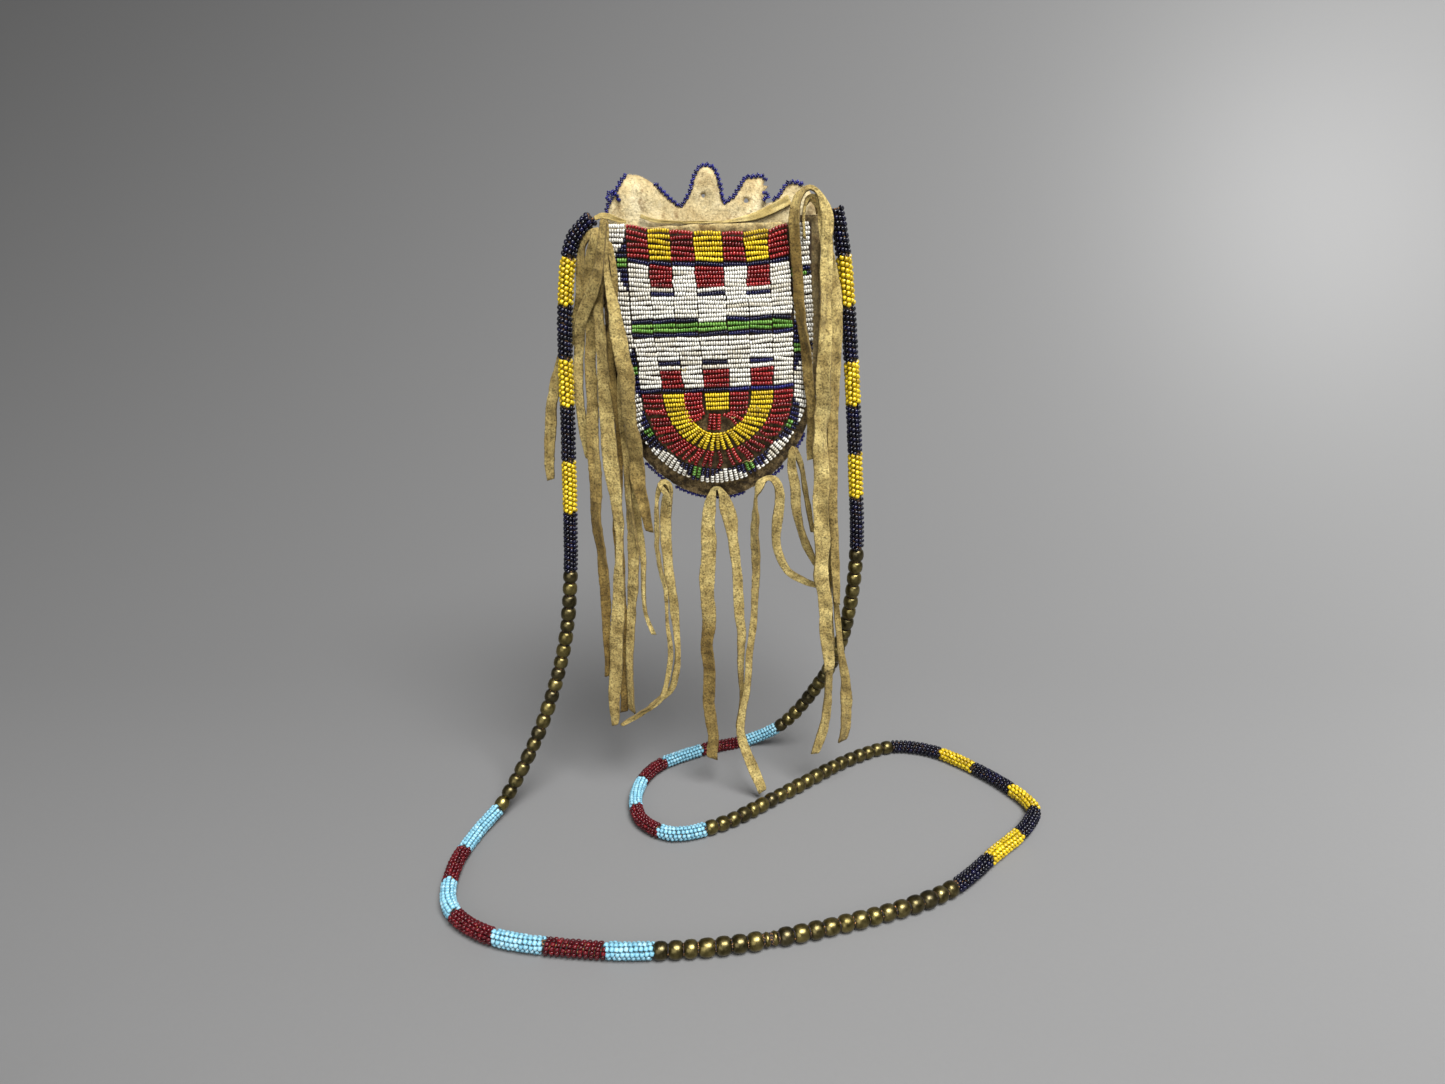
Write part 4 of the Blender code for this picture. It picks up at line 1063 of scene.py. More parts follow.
def front_panel(across=110, crowd=0.93):
    """The bulged front hide, as a grid of levels from the mouth down to the rim."""
    top_wave, shaggy = wave(74, 12.0), wave(75, 3.5)
    bumps, soft = ripple(76, 7.0), ripple(77, 22.0)
    share = np.sin(np.linspace(-1, 1, across + 1) * math.pi / 2 * crowd) / math.sin(math.pi / 2 * crowd)
    surface, inner = [], []
    numbers = {"edge": [], "bare_and_lit": [], "under": []}
    levels = front_levels()
    for k, (w, half) in enumerate(levels):
        half = half - 0.35 * abs(shaggy(k * 1.9))
        u = share * half
        lift = 2.6 * capped((u - 33.0) / 4.0)
        w = w + (0.10 * top_wave(u) - 0.5 + lift) * max(0.0, 1.0 - k / 6)
        rim = np.minimum(half - np.abs(u), FAR) * min(1.0, half / 20)
        thick = HIDE_THICKNESS * np.clip(0.4 + rim / 1.6, 0.4, 1.0) * min(1.0, 0.45 + 0.2 * k)
        uneven = bumps(u, w)
        depth = hide_depth(u, w) - 0.12 + 0.05 * uneven + 0.12 * soft(u, w) * capped(rim / 6)
        surface.append(in_frame(u, -depth, w))
        inner.append(in_frame(u, np.minimum(-depth + thick, -0.32), w))
        numbers["edge"].append(capped(1.0 - rim))
        numbers["bare_and_lit"].append(pale_and_lit_share(u, w, uneven))
        numbers["under"].append(under_beads(u, w))
    numbers = {key: np.tile(np.concatenate(values), 2) for key, values in numbers.items()}
    mesh_piece("front_hide", np.concatenate([*surface, *inner]), shell_faces(len(levels), across),
               FRONT_HIDE, ("front_panel",), numbers)


back_panel()
front_panel()

# Edging beads

# The lobes' points that each piece of edging runs along, as (lobe, first, last), and beads that hang loose
EDGING_STRETCHES = {
    "scallop_edging_left": ((0, 0, 6),),
    "scallop_edging_middle": ((0, 9, 13), (1, 0, 10), (2, 0, 8)),
    "scallop_edging_right": ((3, 1, 7),),
}
LOOSE_EDGING = {
    "scallop_edging_left": ((-0.885, 9.6), (-0.886, 11.8), (-0.858, 12.9), (-0.825, 12.7), (-0.803, 11.6),
                            (-0.79, 10.2)),
    "scallop_edging_middle": ((0.488, 10.6), (0.522, 10.3), (0.535, 9.2), (0.515, 8.4), (0.49, 8.0)),
}
EDGING_START = 0.9
EDGING_PITCH = 1.9
EDGING_STEP = 0.72
EDGING_REACH = 0.8
EDGING_RADIUS = 0.78
EDGING_HALF = 0.37
# Bare stretches of the lower edge, as shares of it
LOWER_GAPS = ((0.14, 0.20), (0.57, 0.66), (0.80, 0.87))
LOWER_STRETCH = slice(112, 317)


def beside_edge(line, distance):
    """A line of (u, w) points moved to its left by a distance."""
    along = unit(np.gradient(line, axis=0))
    return line + np.stack([-along[:, 1], along[:, 0]], axis=1) * distance


def edging_run(store, line, depth, seed, gaps=()):
    """Small beads sewn over an edge in threes, each three set a little aslant."""
    rng = np.random.default_rng(seed)
    run = run_of(line)
    for place in np.arange(EDGING_START, run[-1], EDGING_PITCH):
        if any(low <= place / run[-1] <= high for low, high in gaps):
            continue
        ends = (max(place - EDGING_REACH, 0), min(place + EDGING_REACH, run[-1]))
        behind, ahead = values_at(ends, run, line)
        along = unit(ahead - behind)
        out = np.array((-along[1], along[0]))
        slant = unit(along + out * rng.normal(0.5, 0.12))
        shift = rng.normal(0, 0.08, 2)
        for step in (-EDGING_STEP, 0.0, EDGING_STEP):
            u, w = values_at(place, run, line) + slant * step + shift
            y = depth(u, w) if callable(depth) else depth
            centre = in_frame(u, y - 0.35 + rng.normal(0, 0.08) - 0.25 * step, w)
            axis = in_frame(slant[0], 0.1 * rng.normal(), slant[1])
            tone = capped(rng.normal(0.5, 0.25))
            store.add([centre], [axis], [EDGING_RADIUS * rng.normal(1, 0.05)], [EDGING_HALF], [tone])


def edgings():
    for index, (name, stretches) in enumerate(EDGING_STRETCHES.items()):
        store = Beads()
        line = []
        for lobe, first, last in stretches:
            points = on_hide(LOBES[lobe][first:last])
            line += points[1:] if line and np.allclose(points[0], line[-1]) else points
        edging_run(store, beside_edge(smooth_path(line, 0.5), 0.55), back_shape, 81 + index)
        if name in LOOSE_EDGING:
            edging_run(store, smooth_path(on_hide(LOOSE_EDGING[name]), 0.5), -1.0, 91 + index)
        store.piece(f"{name}_beads", EDGING_BLUE, (name,), "edging_blue")
    store = Beads()
    rim = u_curve(HIDE_HALF, SHOULDER, SHOULDER, HIDE_BOTTOM, LINE_POINTS)[LOWER_STRETCH]
    edging_run(store, beside_edge(rim, -0.75), 0.1, 85, LOWER_GAPS)
    store.piece("lower_edging_beads", EDGING_BLUE, ("lower_edging",), "edging_blue")


edgings()

# Thongs

THONG_THICKNESS = 1.15
# Each thong's route, as (x, z, height above the front, width) points
THONGS = {
    "bottom_thong_1": (
        (-43, -227, 5, 1.5), (-39, -224.5, 5, 2.2), (-34.5, -221.5, 5, 2.6), (-29.6, -217.8, 5, 2.6),
        (-24.6, -213.8, 4.5, 2.6), (-21.1, -205.3, 4, 2.4), (-18.9, -188.6, 4, 2.6),
        (-20.1, -172.3, 3.5, 1.6), (-21.2, -156.4, 3, 2), (-22.4, -149.7, 3, 2.2),
        (-23.7, -137.4, 2.4, 2.3), (-24.2, -125.3, 1.8, 2.3), (-24, -116, 1.3, 1.7),
        (-22.6, -110.2, 1, 2.4), (-20.4, -107.3, 0.9, 3), (-18.7, -110.5, 1.2, 4.2), (-19.1, -117, 1.2, 5),
        (-20.2, -125.7, 1.2, 5.2), (-19.8, -140.8, 1.2, 4.7), (-18.1, -156.4, 1.2, 4.3),
        (-16.7, -172.3, 1.2, 3.9), (-15.4, -188.6, 1.2, 2.6), (-16.8, -201.2, 1.5, 3.4),
        (-19.5, -209.5, 1.5, 3.2), (-28.9, -218.7, 1.5, 2.4)),
    "bottom_thong_2": (
        (1, -248, 1, 5.2), (-0.6, -214, 1, 5.9), (-1.2, -192, 1, 6.0), (-1.1, -165, 1, 6.6),
        (-1.1, -140, 1, 7), (-0.5, -126, 1.2, 6.2), (0, -119.3, 1.2, 5.6), (0.8, -114.5, 1.2, 4.2),
        (1.7, -110.9, 0.9, 2.6), (3, -109.8, -2.8, 1.8), (4.6, -111, 1, 2.6), (6.2, -114.5, 1.4, 4.8),
        (7.5, -119.3, 1.4, 6.6), (9.4, -127, 1.4, 6.2), (10.5, -134, 1.4, 4.8), (11.6, -143.4, 1.2, 4.4),
        (13.4, -166, 1.2, 4.8), (14.5, -190, 1.2, 3.6), (14.6, -212, 1.2, 2.2), (13, -231, 1.2, 1.4)),
    "bottom_thong_3": (
        (25, -260.5, 11, 4.4), (21.4, -251, 9.6, 5.2), (17, -240, 7.6, 4.8), (14.9, -229, 6, 4),
        (15.7, -217, 5, 3.4), (17.8, -200, 4, 3.3), (19.3, -182, 3, 3.3), (20.6, -165, 2.3, 3.3),
        (21, -148, 2, 4), (20, -130, 1.6, 5.2), (20.2, -122, 1.4, 4.6), (20.3, -117.5, 1.4, 2.2),
        (20.7, -114, 1.5, 1.4), (21.7, -110.8, 1.8, 3.6), (22.8, -108.2, 1.8, 4), (24.3, -106.2, 1.5, 2.4),
        (26.2, -105.4, 1.2, 2.2), (28.9, -106.4, 1.4, 3.6), (30.6, -110, 1.2, 4.2), (30.8, -117, 0.6, 4.4),
        (30.5, -125, 0, 4.8), (30.9, -140, -1, 3.8), (35.5, -150, -2, 3.6), (43.5, -155.5, -3, 3.2),
        (50, -158, -3.5, 2.6)),
    "bottom_thong_4": (
        (49, -148, -1.2, 2.4), (43, -136, -0.8, 4.2), (39.8, -124, -0.6, 4), (38.5, -112, 0, 4.6),
        (36, -99, 1.0, 4), (36.6, -92.5, 0.9, 3), (40, -99, -0.2, 2.4), (43.4, -115, -2.2, 2.4),
        (45.2, -124, -3, 2.3), (47, -132, -3, 1.8)),
    "left_thong_1": (
        (-72.2, -108, -5.7, 3.6), (-71.9, -99, -5.7, 4.6), (-70.6, -84, -5.7, 5.2), (-69, -70, -5.7, 5.2),
        (-64.5, -57, -5.7, 5), (-58.5, -43, -5.7, 5), (-54.8, -30, -3.6, 4.4), (-52.8, -16, -1.2, 3.6),
        (-50.4, -7, 0.6, 3.4), (-45.4, -3.4, 1.8, 3.4), (-45.8, -8, 2.5, 5.6), (-47.6, -15, 2.6, 6),
        (-49.4, -25, 1.4, 4.8), (-50.4, -34, 0, 4.2), (-50.2, -45, -1, 4.6), (-51.1, -66, -0.8, 5),
        (-51, -90, 0.4, 5.6), (-51.1, -109, 0.7, 6.2), (-51.2, -127, 0.8, 6), (-49.7, -142, 0.8, 5),
        (-48.9, -162, 0.8, 4.8), (-49.2, -182, 0.8, 3.6), (-49.6, -203, 0.8, 2.2)),
    "left_thong_2": (
        (-54.2, -98, -3.7, 2.8), (-55.4, -88, -3.7, 4), (-56.8, -72, -3.7, 4.2), (-56.8, -58, -3.7, 4.2),
        (-55.8, -48, -3.0, 4.4), (-53.8, -40, 1, 4.6), (-51, -33.5, 3.8, 5.2), (-48, -27.6, 6.2, 5.2),
        (-45.2, -20.5, 6.6, 4.6), (-43.3, -13.5, 6.6, 3.8), (-42.2, -7, 6.4, 3.2), (-41, 0.6, 5.4, 2.8),
        (-40.4, -4, 4.6, 2), (-41, -13, 4.4, 2), (-40.6, -23, 4.4, 3), (-39.3, -31, 4.4, 4.6),
        (-37.8, -39, 4.2, 5.8), (-36.3, -47, 3.6, 6.7), (-34.9, -58, 3.0, 6.8), (-34.2, -72, 3.0, 6.6),
        (-32.8, -89, 3.0, 7), (-30.9, -107, 4.6, 6), (-29, -118, 6, 4.8), (-27.3, -129, 6, 3.4)),
    "left_thong_3": (
        (-47, -228.5, 2.5, 3.4), (-47, -219, 2.5, 5.2), (-44.9, -196, 2.5, 6.2), (-43.4, -173, 2.5, 6.4),
        (-42.2, -155, 2.5, 5.4), (-41.4, -140, 2.5, 3.8), (-41.3, -122, 2.5, 4.8), (-42.3, -109, 2.5, 6.5),
        (-43.3, -98, 2.5, 7.2), (-44.1, -86, 2.5, 6.8), (-44.7, -70, 2.5, 6), (-44.7, -54, 2.4, 5.6),
        (-45, -43, 2.2, 5.6), (-46, -34, 2.0, 4.6), (-44.8, -25, 1.6, 3.2), (-42.6, -15, 1.1, 2.8),
        (-40.2, -8, 0.9, 2.8), (-38.8, -18, 0.9, 2.8), (-39.6, -36, 0.9, 3), (-41.4, -55, 0.9, 3.6),
        (-40, -74, 0.9, 3.4), (-39.2, -90, 0.9, 3.2), (-40.4, -104, 0.9, 3.2), (-41.8, -125, 0.9, 3.6),
        (-41.4, -150, 0.9, 4.4), (-41.5, -180, 0.9, 4), (-42, -222, 0.9, 3.8)),
    "left_thong_4": (
        (-38.6, -221, 2.5, 3.8), (-38.7, -204, 2.5, 3.6), (-37.8, -184, 2.5, 3.9), (-36.3, -163, 2.5, 4.9),
        (-35.3, -147, 2.6, 5.8), (-35, -134, 2.4, 6), (-35.6, -120, 1.6, 4.6), (-37.2, -104, 1.2, 2.6),
        (-38, -60, 0.9, 2.4), (-37.8, -50, 0.9, 2.2), (-36, -45, 0.9, 2.2), (-34.6, -50, 0.9, 2.2),
        (-34.6, -60, 0.9, 2.4), (-35.8, -98, 1.2, 2.2), (-34.6, -110, 1.2, 3), (-33.1, -120, 1.2, 4),
        (-32.2, -130, 1.2, 4.2), (-31.2, -140, 1.2, 3), (-31.2, -154, 1.2, 2.2), (-30, -171, 1.2, 1.8),
        (-27, -181, 1.2, 2.2)),
    "right_thong_1": (
        (44.2, -97, 2.6, 2.8), (43.8, -82, 2.6, 3.8), (42.7, -68, 2.2, 4.2), (41.2, -56, 1.8, 4.7),
        (39.3, -44, 1.4, 5.2), (37.4, -33, 1.0, 5), (36, -22, 1.0, 4.4), (34.7, -11, 1.4, 4.4),
        (33.8, -1, 2.8, 4.5), (34, 4.6, 4.2, 4.5), (35.2, 8.6, 4.8, 4), (37, 11, 5.2, 2.9),
        (39.6, 12.2, 5.6, 2), (42.2, 11.4, 6, 1.9), (44.3, 9, 6.4, 2.6), (45.7, 6.4, 6.8, 3.8),
        (46.8, 2.6, 7, 4.8), (47.3, -8, 7, 5), (47.3, -22, 7, 5.3), (47.4, -40, 7, 5.8),
        (47.8, -62, 7, 6.2), (48.1, -85, 7, 6.8), (48.7, -104, 7, 7), (49.6, -126, 7, 7),
        (50.5, -145, 7, 6.8), (51.9, -158, 7, 6.4), (53.5, -172, 7, 5.9), (55, -188, 7, 5.6),
        (55.4, -197, 7, 4.8)),
    "right_thong_2": (
        (38.4, -6.5, 1.2, 1.6), (37.9, -2.5, 1.8, 0.9), (37.6, 2, 2.4, 1.3), (38.1, 6.4, 3, 1.4),
        (39.4, 9, 3.6, 1.2), (41, 9.8, 4, 1.2), (42.6, 8.6, 4.2, 1.3), (43.8, 5.4, 4.4, 1.8),
        (45, -1, 4.6, 3.2), (48.5, -13, 4.8, 5), (51.6, -25, 5, 5.4), (52.7, -38, 5, 6),
        (52.7, -54, 5, 5.8), (52.8, -70, 5, 5.2), (53.2, -86, 5, 4.6), (54.2, -106, 5, 4.2),
        (55.3, -128, 5, 4), (56.8, -147, 5, 3.8), (58.6, -164, 5, 3)),
    "right_thong_3": (
        (65, -237, 2.9, 5.2), (65.7, -222, 2.9, 5.8), (64.4, -206, 2.9, 4.8), (61.6, -188, 2.9, 3.2),
        (58.8, -168, 2.9, 2.8), (55.8, -142, 2.9, 2.8), (52.8, -115, 2.9, 2.8), (50, -60, 2.9, 3),
        (48.5, -12, 2.9, 3), (47.5, -4, 2.2, 2.6), (48.6, -12, 1.2, 3), (49.5, -60, 1.2, 3),
        (51.5, -120, 1.2, 3), (55.5, -165, 1.2, 3), (56.8, -199, 1.2, 3.8), (56.8, -217, 1.2, 4.2),
        (54.6, -234, 1.2, 5), (51.4, -245, 1.2, 4)),
}
# How each thong is turned to its left in degrees, and how dark it is from dirt and painted shade, at shares
# of its length
THONG_TURNS_DIRT_AND_SHADE = {
    "bottom_thong_1": (
        (0.0, 0, 0.45), (0.3, 10, 0.3), (0.47, 20, 0.1), (0.52, 0, 0.2), (0.75, 0, 0.3), (1.0, 0, 0.5)),
    "bottom_thong_2": (
        (0.0, 0, 0.85), (0.26, 8, 0.95), (0.31, 0, 0.3), (0.5, 5, 0.15), (0.8, 5, 0.35), (1.0, 20, 0.6)),
    "bottom_thong_3": (
        (0.0, 0, 0.05), (0.4, 15, 0.3), (0.57, 50, 0.45), (0.66, 60, 0.4), (0.70, 5, 0.2), (0.78, 15, 0.3),
        (0.88, 0, 0.05), (1.0, 0, 0.1)),
    "bottom_thong_4": (
        (0.0, 15, 0.45), (0.5, 25, 0.3), (1.0, 30, 0.6)),
    "left_thong_1": (
        (0.0, 10, 0.4), (0.25, 0, 0.3), (0.4, 20, 0.45), (0.6, -10, 0.45), (0.75, -20, 0.95),
        (1.0, 0, 1.0)),
    "left_thong_2": (
        (0.0, 0, 0.1), (0.25, -5, 0.15), (0.4, 25, 0.6), (0.55, 0, 0.2), (0.8, -10, 0.7), (1.0, 0, 0.9)),
    "left_thong_3": (
        (0.0, 10, 0.45), (0.3, 15, 0.05), (0.5, 20, 0.65), (0.7, 0, 1.0), (1.0, 0, 1.0)),
    "left_thong_4": (
        (0.0, 20, 0.4), (0.3, 30, 0.3), (0.6, 0, 0.6), (0.8, 0, 0.2), (1.0, 0, 0.05)),
    "right_thong_1": (
        (0.0, 5, 0.3), (0.06, 25, 0.75), (0.2, 35, 1.0), (0.28, 30, 1.0), (0.34, 5, 0.35), (0.4, 5, 0.05),
        (0.7, 0, 0.15), (0.85, 0, 0.0), (1.0, 0, 0.0)),
    "right_thong_2": (
        (0.0, 0, 0.2), (0.15, 0, 0.2), (0.4, 25, 0.35), (0.6, 0, 0.6), (1.0, 0, 0.6)),
    "right_thong_3": (
        (0.0, -10, 0.5), (0.2, 0, 0.45), (0.5, 0, 0.6), (0.8, 10, 0.5), (1.0, 20, 0.2)),
}
# A strip's section, as shares of half its width and of half its thickness
SECTION_SHARES = (-0.93, -0.7, -0.47, -0.23, 0.0, 0.23, 0.47, 0.7, 0.93)
SECTION = ((-1.0, -0.55), *((s, -1.0) for s in SECTION_SHARES), (1.0, -0.55),
           (1.0, 0.55), *((-s, 1.0) for s in SECTION_SHARES), (-1.0, 0.55))
BEADS_HEIGHT = 2.2


def thong_depth(x, z, width, forward):
    """Where a thong hangs along Y: clear of the pouch's front where it passes before it."""
    u = x * math.cos(LEAN) + z * math.sin(LEAN)
    w = z * math.cos(LEAN) - x * math.sin(LEAN)
    edge = np.maximum(0.0, np.abs(u) - width / 2)
    down = np.minimum(w - SHOULDER, 0.0) / (SHOULDER - BORDER_BOTTOM)
    outside = np.maximum(BORDER_HALF * (np.hypot(edge / BORDER_HALF, down) - 1.0), w - BEADS_TOP)
    beads = BEADS_HEIGHT * capped(1.0 - (outside - 1.0) / 4.0)
    return -(hide_depth(edge, w) + beads + forward)


def strip(piece, line, widths, thicknesses, seed, twist=12.0, wrinkle=0.12, cup=0.07, turned=0.0, slant=0.0,
          dirt=0.0):
    """A soft strip along a line, made as a piece: cupped, twisting a little, wrinkled, darkened at its sides
    and along it by dirt and painted shade.
    """
    run = run_of(line)
    along = unit(np.gradient(line, axis=0))
    side = unit(np.cross(along, (0.0, 1.0, 0.0)))
    face = np.cross(side, along)
    turn = np.radians(twist * wave(seed, 70.0, 4)(run) + turned)
    swung, flat = turned_by(side, face, turn)
    bent = cup * wave(seed + 3, 60.0, 4)(run)
    folds = ripple(seed + 4, 6.0)
    crease = 0.5 * wave(seed + 5, 60.0, 3)(run)
    deep = 0.075 * widths * (0.5 + 0.5 * wave(seed + 6, 35.0, 4)(run))
    points, edges = [], []
    for s, t in SECTION:
        fine, coarse = wave(seed + 1 + round(s), 3.0), wave(seed + 2 + round(s), 17.0)
        ragged = 1.0 + 0.02 * fine(run) + 0.04 * coarse(run)
        across = s * widths / 2 * ragged
        lift = t * thicknesses / 2 + bent * (s * s - 0.4) * widths
        lift = lift + wrinkle * folds(np.full_like(run, s * 2.2), run)
        lift = lift + deep * np.exp(-(((s - crease) / 0.3) ** 2))
        place = line + swung * across[:, None] + flat * lift[:, None]
        points.append(place + along * (slant * across)[:, None])
        # The narrow sides are darkened: dark cut edges, and painted shade
        edges.append(np.full(len(run), 0.8 if abs(s) > 0.97 else 0.0))
    numbers = {"edge": np.stack(edges, axis=1).ravel(), "dirt": np.repeat(dirt + 0.0 * run, len(SECTION))}
    name, made, nodes, slot = piece
    points = np.stack(points, axis=1).reshape(-1, 3)
    mesh_piece(name, points, tube_faces(len(run), len(SECTION)), made, nodes, numbers)


SMOOTHED = 9
TIP_LENGTH = 1.8


def thongs():
    """The fringe: each thong along its route, turned as it is worn, darkened by dirt and painted shade, with
    square slanted ends.
    """
    for index, (name, route) in enumerate(THONGS.items()):
        x, z, forward, width = smooth_path(route, 1.1).T
        y = np.pad(thong_depth(x, z, width, forward), SMOOTHED // 2, mode="edge")
        y = np.convolve(y, np.ones(SMOOTHED) / SMOOTHED, mode="valid")
        seed = 200 + 10 * index
        run = run_of(np.stack([x, y, z], axis=1))
        tip = capped(np.minimum(run, run[-1] - run) / TIP_LENGTH)
        sway = 0.22 * wave(seed + 7, 40.0)(run) + (0.05 if index % 2 else -0.05) * (1 - tip) * width
        line = np.stack([x + sway, y, z], axis=1)
        thick = THONG_THICKNESS * (1.0 + 0.06 * wave(seed + 8, 15.0)(run))
        slant = (0.5 if index % 2 else -0.4) * (1 - tip)
        # The turns, and the darkness from dirt and painted shade, read along the thong
        shares, turns, dirt = zip(*THONG_TURNS_DIRT_AND_SHADE[name])
        turned = np.interp(run / run[-1], shares, turns)
        strip((f"{name}_hide", FRINGE, (name,), "fringe_hide"), line, width * (0.9 + 0.1 * tip), thick, seed,
              turned=turned, slant=slant, dirt=np.interp(run / run[-1], shares, dirt))


# The strips at the mouth, as (u, w, width) points
CORNER_FOLD = ((-46.4, 3.4, 1.6), (-43.5, 4.3, 2.2), (-40.5, 3.9, 2.3), (-37.0, 2.5, 2.0), (-33.5, 1.6, 1.0))
MOUTH_EDGE = ((-27.6, 3.6, 1.4), (-21.7, 1.7, 1.3), (-11.6, 0.7, 1.1), (-3.5, 0.4, 1.0), (5.4, 0.2, 1.0),
              (10.7, 0.5, 1.5), (15.2, 1.1, 2.4), (19.7, 2.1, 3.1), (24.1, 3.7, 3.6), (28.6, 5.6, 3.8),
              (33.0, 7.6, 3.8))


def mouth():
    """The rolled thong that edges the mouth, thin in the middle, and the fold at the left corner."""
    u, w, width = smooth_path(MOUTH_EDGE, 0.8).T
    line = in_frame(u, np.full_like(u, -1.15), w)
    thick = 1.15 + 0.12 * wave(301, 9.0)(u)
    strip(("mouth_edge", MOUTH_HIDE, ("mouth_thong",), "hide_pale"), line, width, thick, 300, twist=6.0,
          wrinkle=0.06, cup=0.03)
    u, w, width = smooth_path(CORNER_FOLD, 0.6).T
    line = in_frame(u, -0.3 - 1.2 * capped((u + 46.4) / 6), w)
    strip(("corner_fold", MOUTH_HIDE, (), "hide_pale"), line, width, 0.9, 310, twist=8.0, wrinkle=0.08,
          cup=0.05)


# Short strips in the knots and loops, as (x, z, y, width) points, and how dark each is from dirt and painted
# shade
TIES = {
    "knot_ring": (((-23, -113, -3.2, 1.6), (-22.2, -109.4, -4, 1.9), (-20.4, -107, -4.3, 2),
                   (-18.3, -107.8, -4.2, 2.1), (-17.3, -111, -4, 2), (-17.6, -114, -3.4, 1.4)), 0.1),
    "knot_band": (((-22.9, -107.8, -3.6, 1.5), (-21.4, -109.6, -4.9, 2.2), (-19.6, -112, -5.1, 2.5),
                   (-18.3, -115, -4.6, 2.2), (-18, -118, -3.8, 1.4)), 0.0),
    "loop_stub": (((40.2, 8.7, -4.8, 1.0), (41.4, 7.6, -6.2, 1.2), (42.8, 6.1, -6.6, 1.2),
                   (43.6, 5.3, -6.4, 0.8)), 0.0),
    # Painted shade: the lining inside the loop is darkened past full, as the shade in the loop's hollow
    "loop_lining_shade": (((38.8, 6.6, -4.6, 1.6), (39.6, 8.4, -4.9, 2.4), (41, 9.2, -5.0, 2.8),
                     (42.5, 8.2, -5.0, 2.6), (43.4, 6, -4.8, 2.2), (43.9, 3, -4.6, 1.6)), 1.9),
}


def ties():
    for index, (name, (route, dirt)) in enumerate(TIES.items()):
        x, z, y, width = smooth_path(route, 0.5).T
        line = np.stack([x, y, z], axis=1)
        strip((name, FRINGE, (), "fringe_hide"), line, width, 0.7, 400 + 10 * index, wrinkle=0.1, dirt=dirt)


FIBRE_RADIUS = 0.075
BROWN_FIBRES = 2600


def fibres(name, roots, leans, lengths, made, seed):
    """Short tapering fibres that stand out of a hide's nap."""
    rng = np.random.default_rng(seed)
    count = len(roots)
    along = unit(leans + rng.normal(0, 0.45, (count, 3)))
    side = unit(np.cross(along, rng.normal(0, 1, (count, 3))))
    third = np.cross(along, side)
    corners = []
    for turn in (0.0, 2 * math.pi / 3, 4 * math.pi / 3):
        corners.append(roots + FIBRE_RADIUS * (side * math.cos(turn) + third * math.sin(turn)))
    points = np.stack([*corners, roots + along * lengths[:, None]], axis=1)
    shift = 4 * np.arange(count)[:, None, None]
    faces = (np.array(((0, 2, 1), (0, 1, 3), (1, 2, 3), (2, 0, 3)))[None] + shift).reshape(-1, 3)
    mesh_piece(name, points.reshape(-1, 3), [faces], made, (), smooth=False)


def nap():
    """Fibres on the beadless brown hide below the beads and along the scalloped top."""
    rng = np.random.default_rng(501)
    turn = rng.uniform(0.12, math.pi - 0.12, BROWN_FIBRES)
    reach = rng.uniform(HIDE_BOTTOM + 0.3, BORDER_BOTTOM - 0.6, BROWN_FIBRES) - SHOULDER
    share = (reach - BORDER_BOTTOM + SHOULDER) / (HIDE_BOTTOM - BORDER_BOTTOM)
    u = -(BORDER_HALF + share * (HIDE_HALF - BORDER_HALF)) * np.cos(turn)
    w = SHOULDER + reach * np.sin(turn)
    sideways = 0.9 * rng.normal(0, 1, BROWN_FIBRES)
    upward = 0.9 * rng.normal(0, 1, BROWN_FIBRES) - 0.3
    leans = np.stack([sideways, np.full(BROWN_FIBRES, -0.5), upward], axis=1)
    lengths = rng.uniform(0.5, 1.5, BROWN_FIBRES)
    fibres("brown_nap", on_front(u, w, -0.15), leans, lengths, FRONT_HIDE, 502)
    line = np.concatenate([smooth_path(on_hide(lobe), 0.12)[:-1] for lobe in LOBES])
    out = beside_edge(line, 1.0) - line
    height = rng.uniform(-0.4, 0.4, len(line))
    root = line - 0.15 * out
    roots = in_frame(root[:, 0], back_shape(*line.T) + height, root[:, 1])
    leans = in_frame(out[:, 0], 0.5 * height, out[:, 1])
    fibres("scallop_nap", roots, leans, rng.uniform(0.2, 0.7, len(line)), BACK_HIDE, 503)


# Ends of sewing thread that stand off the beadwork, as (u, w, height) points
LOOSE_THREADS = (
    ((-14.6, -57.2, 2.2), (-13.4, -56.4, 3.4), (-12.6, -57.6, 3.0), (-11.6, -56.0, 2.4), (-11.9, -58.4, 2.0)),
    ((6.2, -77.2, 1.4), (7.3, -77.9, 2.2), (8.3, -77.2, 1.6)),
    ((10.6, -98.2, 1.6), (12.4, -97.0, 3.0), (14.2, -97.6, 3.2), (15.8, -96.4, 2.0)),
    ((33.6, -37.0, 2.0), (35.0, -36.6, 2.8), (36.6, -37.3, 2.2)),
    ((16.8, -73.0, 2.0), (18.0, -74.0, 2.8), (18.4, -75.4, 2.0)),
)
THREAD_SIDES = 6
THREAD_RADIUS = 0.13


def loose_threads():
    for index, route in enumerate(LOOSE_THREADS):
        line = on_front(*smooth_path(route, 0.3).T)
        along = unit(np.gradient(line, axis=0))
        side = unit(np.cross(along, (0.0, 1.0, 0.3)))
        around = spokes(side, np.cross(along, side), round_turn(THREAD_SIDES))
        points = (line[:, None] + THREAD_RADIUS * around).reshape(-1, 3)
        mesh_piece(f"loose_thread_{index + 1}", points, tube_faces(len(line), THREAD_SIDES), MOUTH_HIDE, ())


thongs()
mouth()
ties()
nap()
loose_threads()

# Floor, backdrop and light

FLOOR = -0.265
SHEET_HALF = 2.2
SHEET_FRONT = -2.0
SHEET_BEND_AT = 0.12
SHEET_BEND = 0.75
SHEET_TOP = 2.6
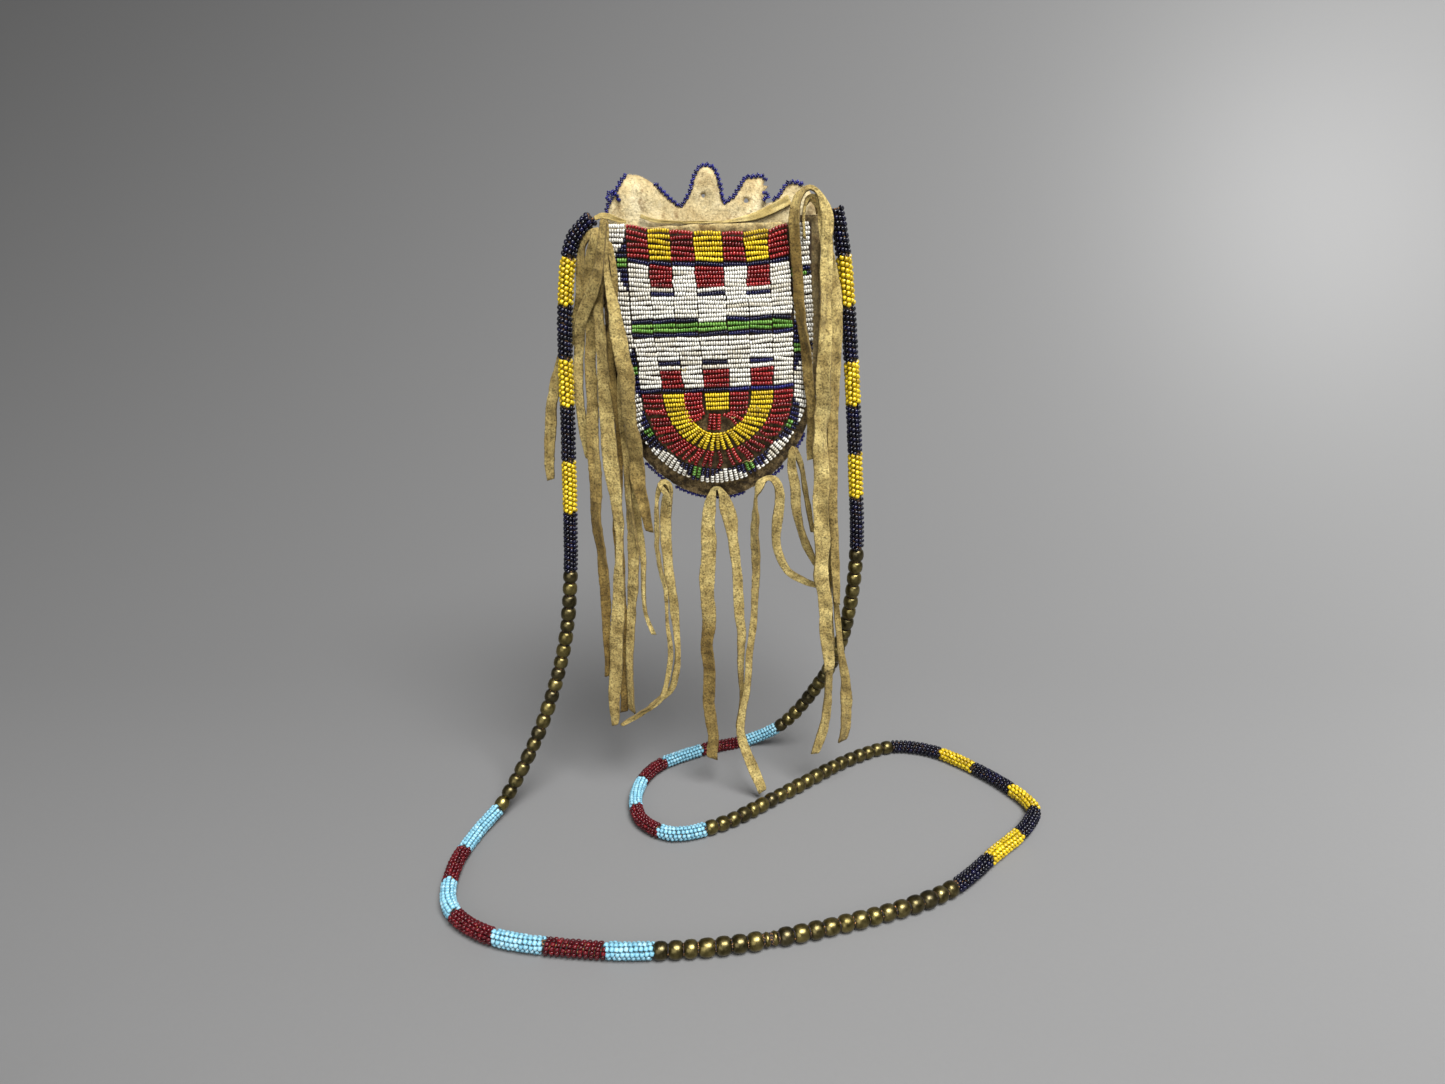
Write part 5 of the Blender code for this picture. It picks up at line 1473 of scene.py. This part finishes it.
# How the lamps light the sheet over the picture: the logarithm of it, by powers of x and y
SHEET_LIGHT = (0.439, 0.162, -0.269, -0.198, 0.049, 0.078, -0.036, -0.275, -0.058, 0.130)


def seen_at(points):
    """Where points of the sheet lie across and up the picture, each from -1 to 1 across its width."""
    away = points - np.array(camera.location)
    turn = camera.rotation_euler.x
    depth = np.maximum(away[:, 1] * math.sin(turn) - away[:, 2] * math.cos(turn), 0.05)
    height = away[:, 1] * math.cos(turn) + away[:, 2] * math.sin(turn)
    half = SENSOR / 2 / camera_data.lens
    return np.clip(away[:, 0] / depth / half, -1.6, 1.6), np.clip(height / depth / half, -1.2, 1.2)


def sheet_shade(points):
    """The sheet's grey, painted light and shade: dark at the upper left, pale at the right, with one soft
    painted pool of light.
    """
    x, y = seen_at(points)
    grey = 148.8 + 26.2 * x - 18.3 * y + 18.3 * x * y
    # A painted pool of light at the upper right
    grey = grey + 30.0 * np.exp(-((x - 0.82) / 0.30) ** 2 - ((y - 0.47) / 0.32) ** 2)
    wanted = (np.clip(grey, 70, 235) / 255) ** 2.2
    terms = (1, x, y, x * x, x * y, y * y, x ** 3, x * x * y, x * y * y, y ** 3)
    # The lamps' own light is divided out, so that the painted light and shade show as given
    light = np.exp(sum(share * term for share, term in zip(SHEET_LIGHT, terms)))
    return np.clip(wanted / light, 0.02, 0.85)


def backdrop_paper():
    made, tree, shader = new_material("backdrop_paper", 0.9, Specular_IOR_Level=0.05)
    grain = ramp(tree, noise(tree, 1.5, 4.0), ((0.3, 0.985), (0.7, 1.0)))
    tree.links.new(blend(tree, 1.0, number(tree, "shade"), grain, "MULTIPLY"), shader.inputs["Base Color"])
    return made


def stage():
    """One sheet: floor in front, bent up behind into a backdrop."""
    profile = [(y, 0.0) for y in np.linspace(SHEET_FRONT, SHEET_BEND_AT, 50)]
    for turn in np.linspace(0, math.pi / 2, 40)[1:]:
        profile.append((SHEET_BEND_AT + SHEET_BEND * math.sin(turn), SHEET_BEND * (1 - math.cos(turn))))
    profile += [(SHEET_BEND_AT + SHEET_BEND, z) for z in np.linspace(SHEET_BEND, SHEET_TOP, 24)[1:]]
    xs = np.linspace(-SHEET_HALF, SHEET_HALF, 89)
    points = np.array([(x, y, z + FLOOR) for y, z in profile for x in xs])
    wide = len(xs)
    faces = [(r * wide + c, r * wide + c + 1, (r + 1) * wide + c + 1, (r + 1) * wide + c)
             for r in range(len(profile) - 1) for c in range(wide - 1)]
    mesh = bpy.data.meshes.new("backdrop")
    mesh.from_pydata(points.tolist(), [], faces)
    mesh.shade_smooth()
    shade = sheet_shade(points).astype(np.float32)
    mesh.attributes.new("shade", "FLOAT", "POINT").data.foreach_set("value", shade)
    mesh.materials.append(backdrop_paper())
    sheet = new_object("backdrop", mesh)


def lamp(name, place, target, size, power):
    data = bpy.data.lights.new(name, "AREA")
    data.shape = "RECTANGLE"
    data.size, data.size_y = size
    data.energy = power
    light = new_object(name, data)
    light.location = place
    light.rotation_euler = (Vector(target) - Vector(place)).to_track_quat("-Z", "Y").to_euler()


stage()
lamp("key", (0.34, -0.62, 1.05), (0.0, 0.0, -0.1), (0.8, 0.7), 38.0)
lamp("fill", (-0.5, -1.3, 0.30), (0.0, 0.0, -0.12), (1.3, 1.1), 9.0)
world = bpy.data.worlds.new("studio")
world.use_nodes = True
background = world.node_tree.nodes["Background"]
background.inputs["Color"].default_value = (1.0, 0.985, 0.96, 1.0)
background.inputs["Strength"].default_value = 0.17
bpy.context.scene.world = world
bpy.context.scene.view_settings.view_transform = "Standard"

bpy.context.view_layer.update()
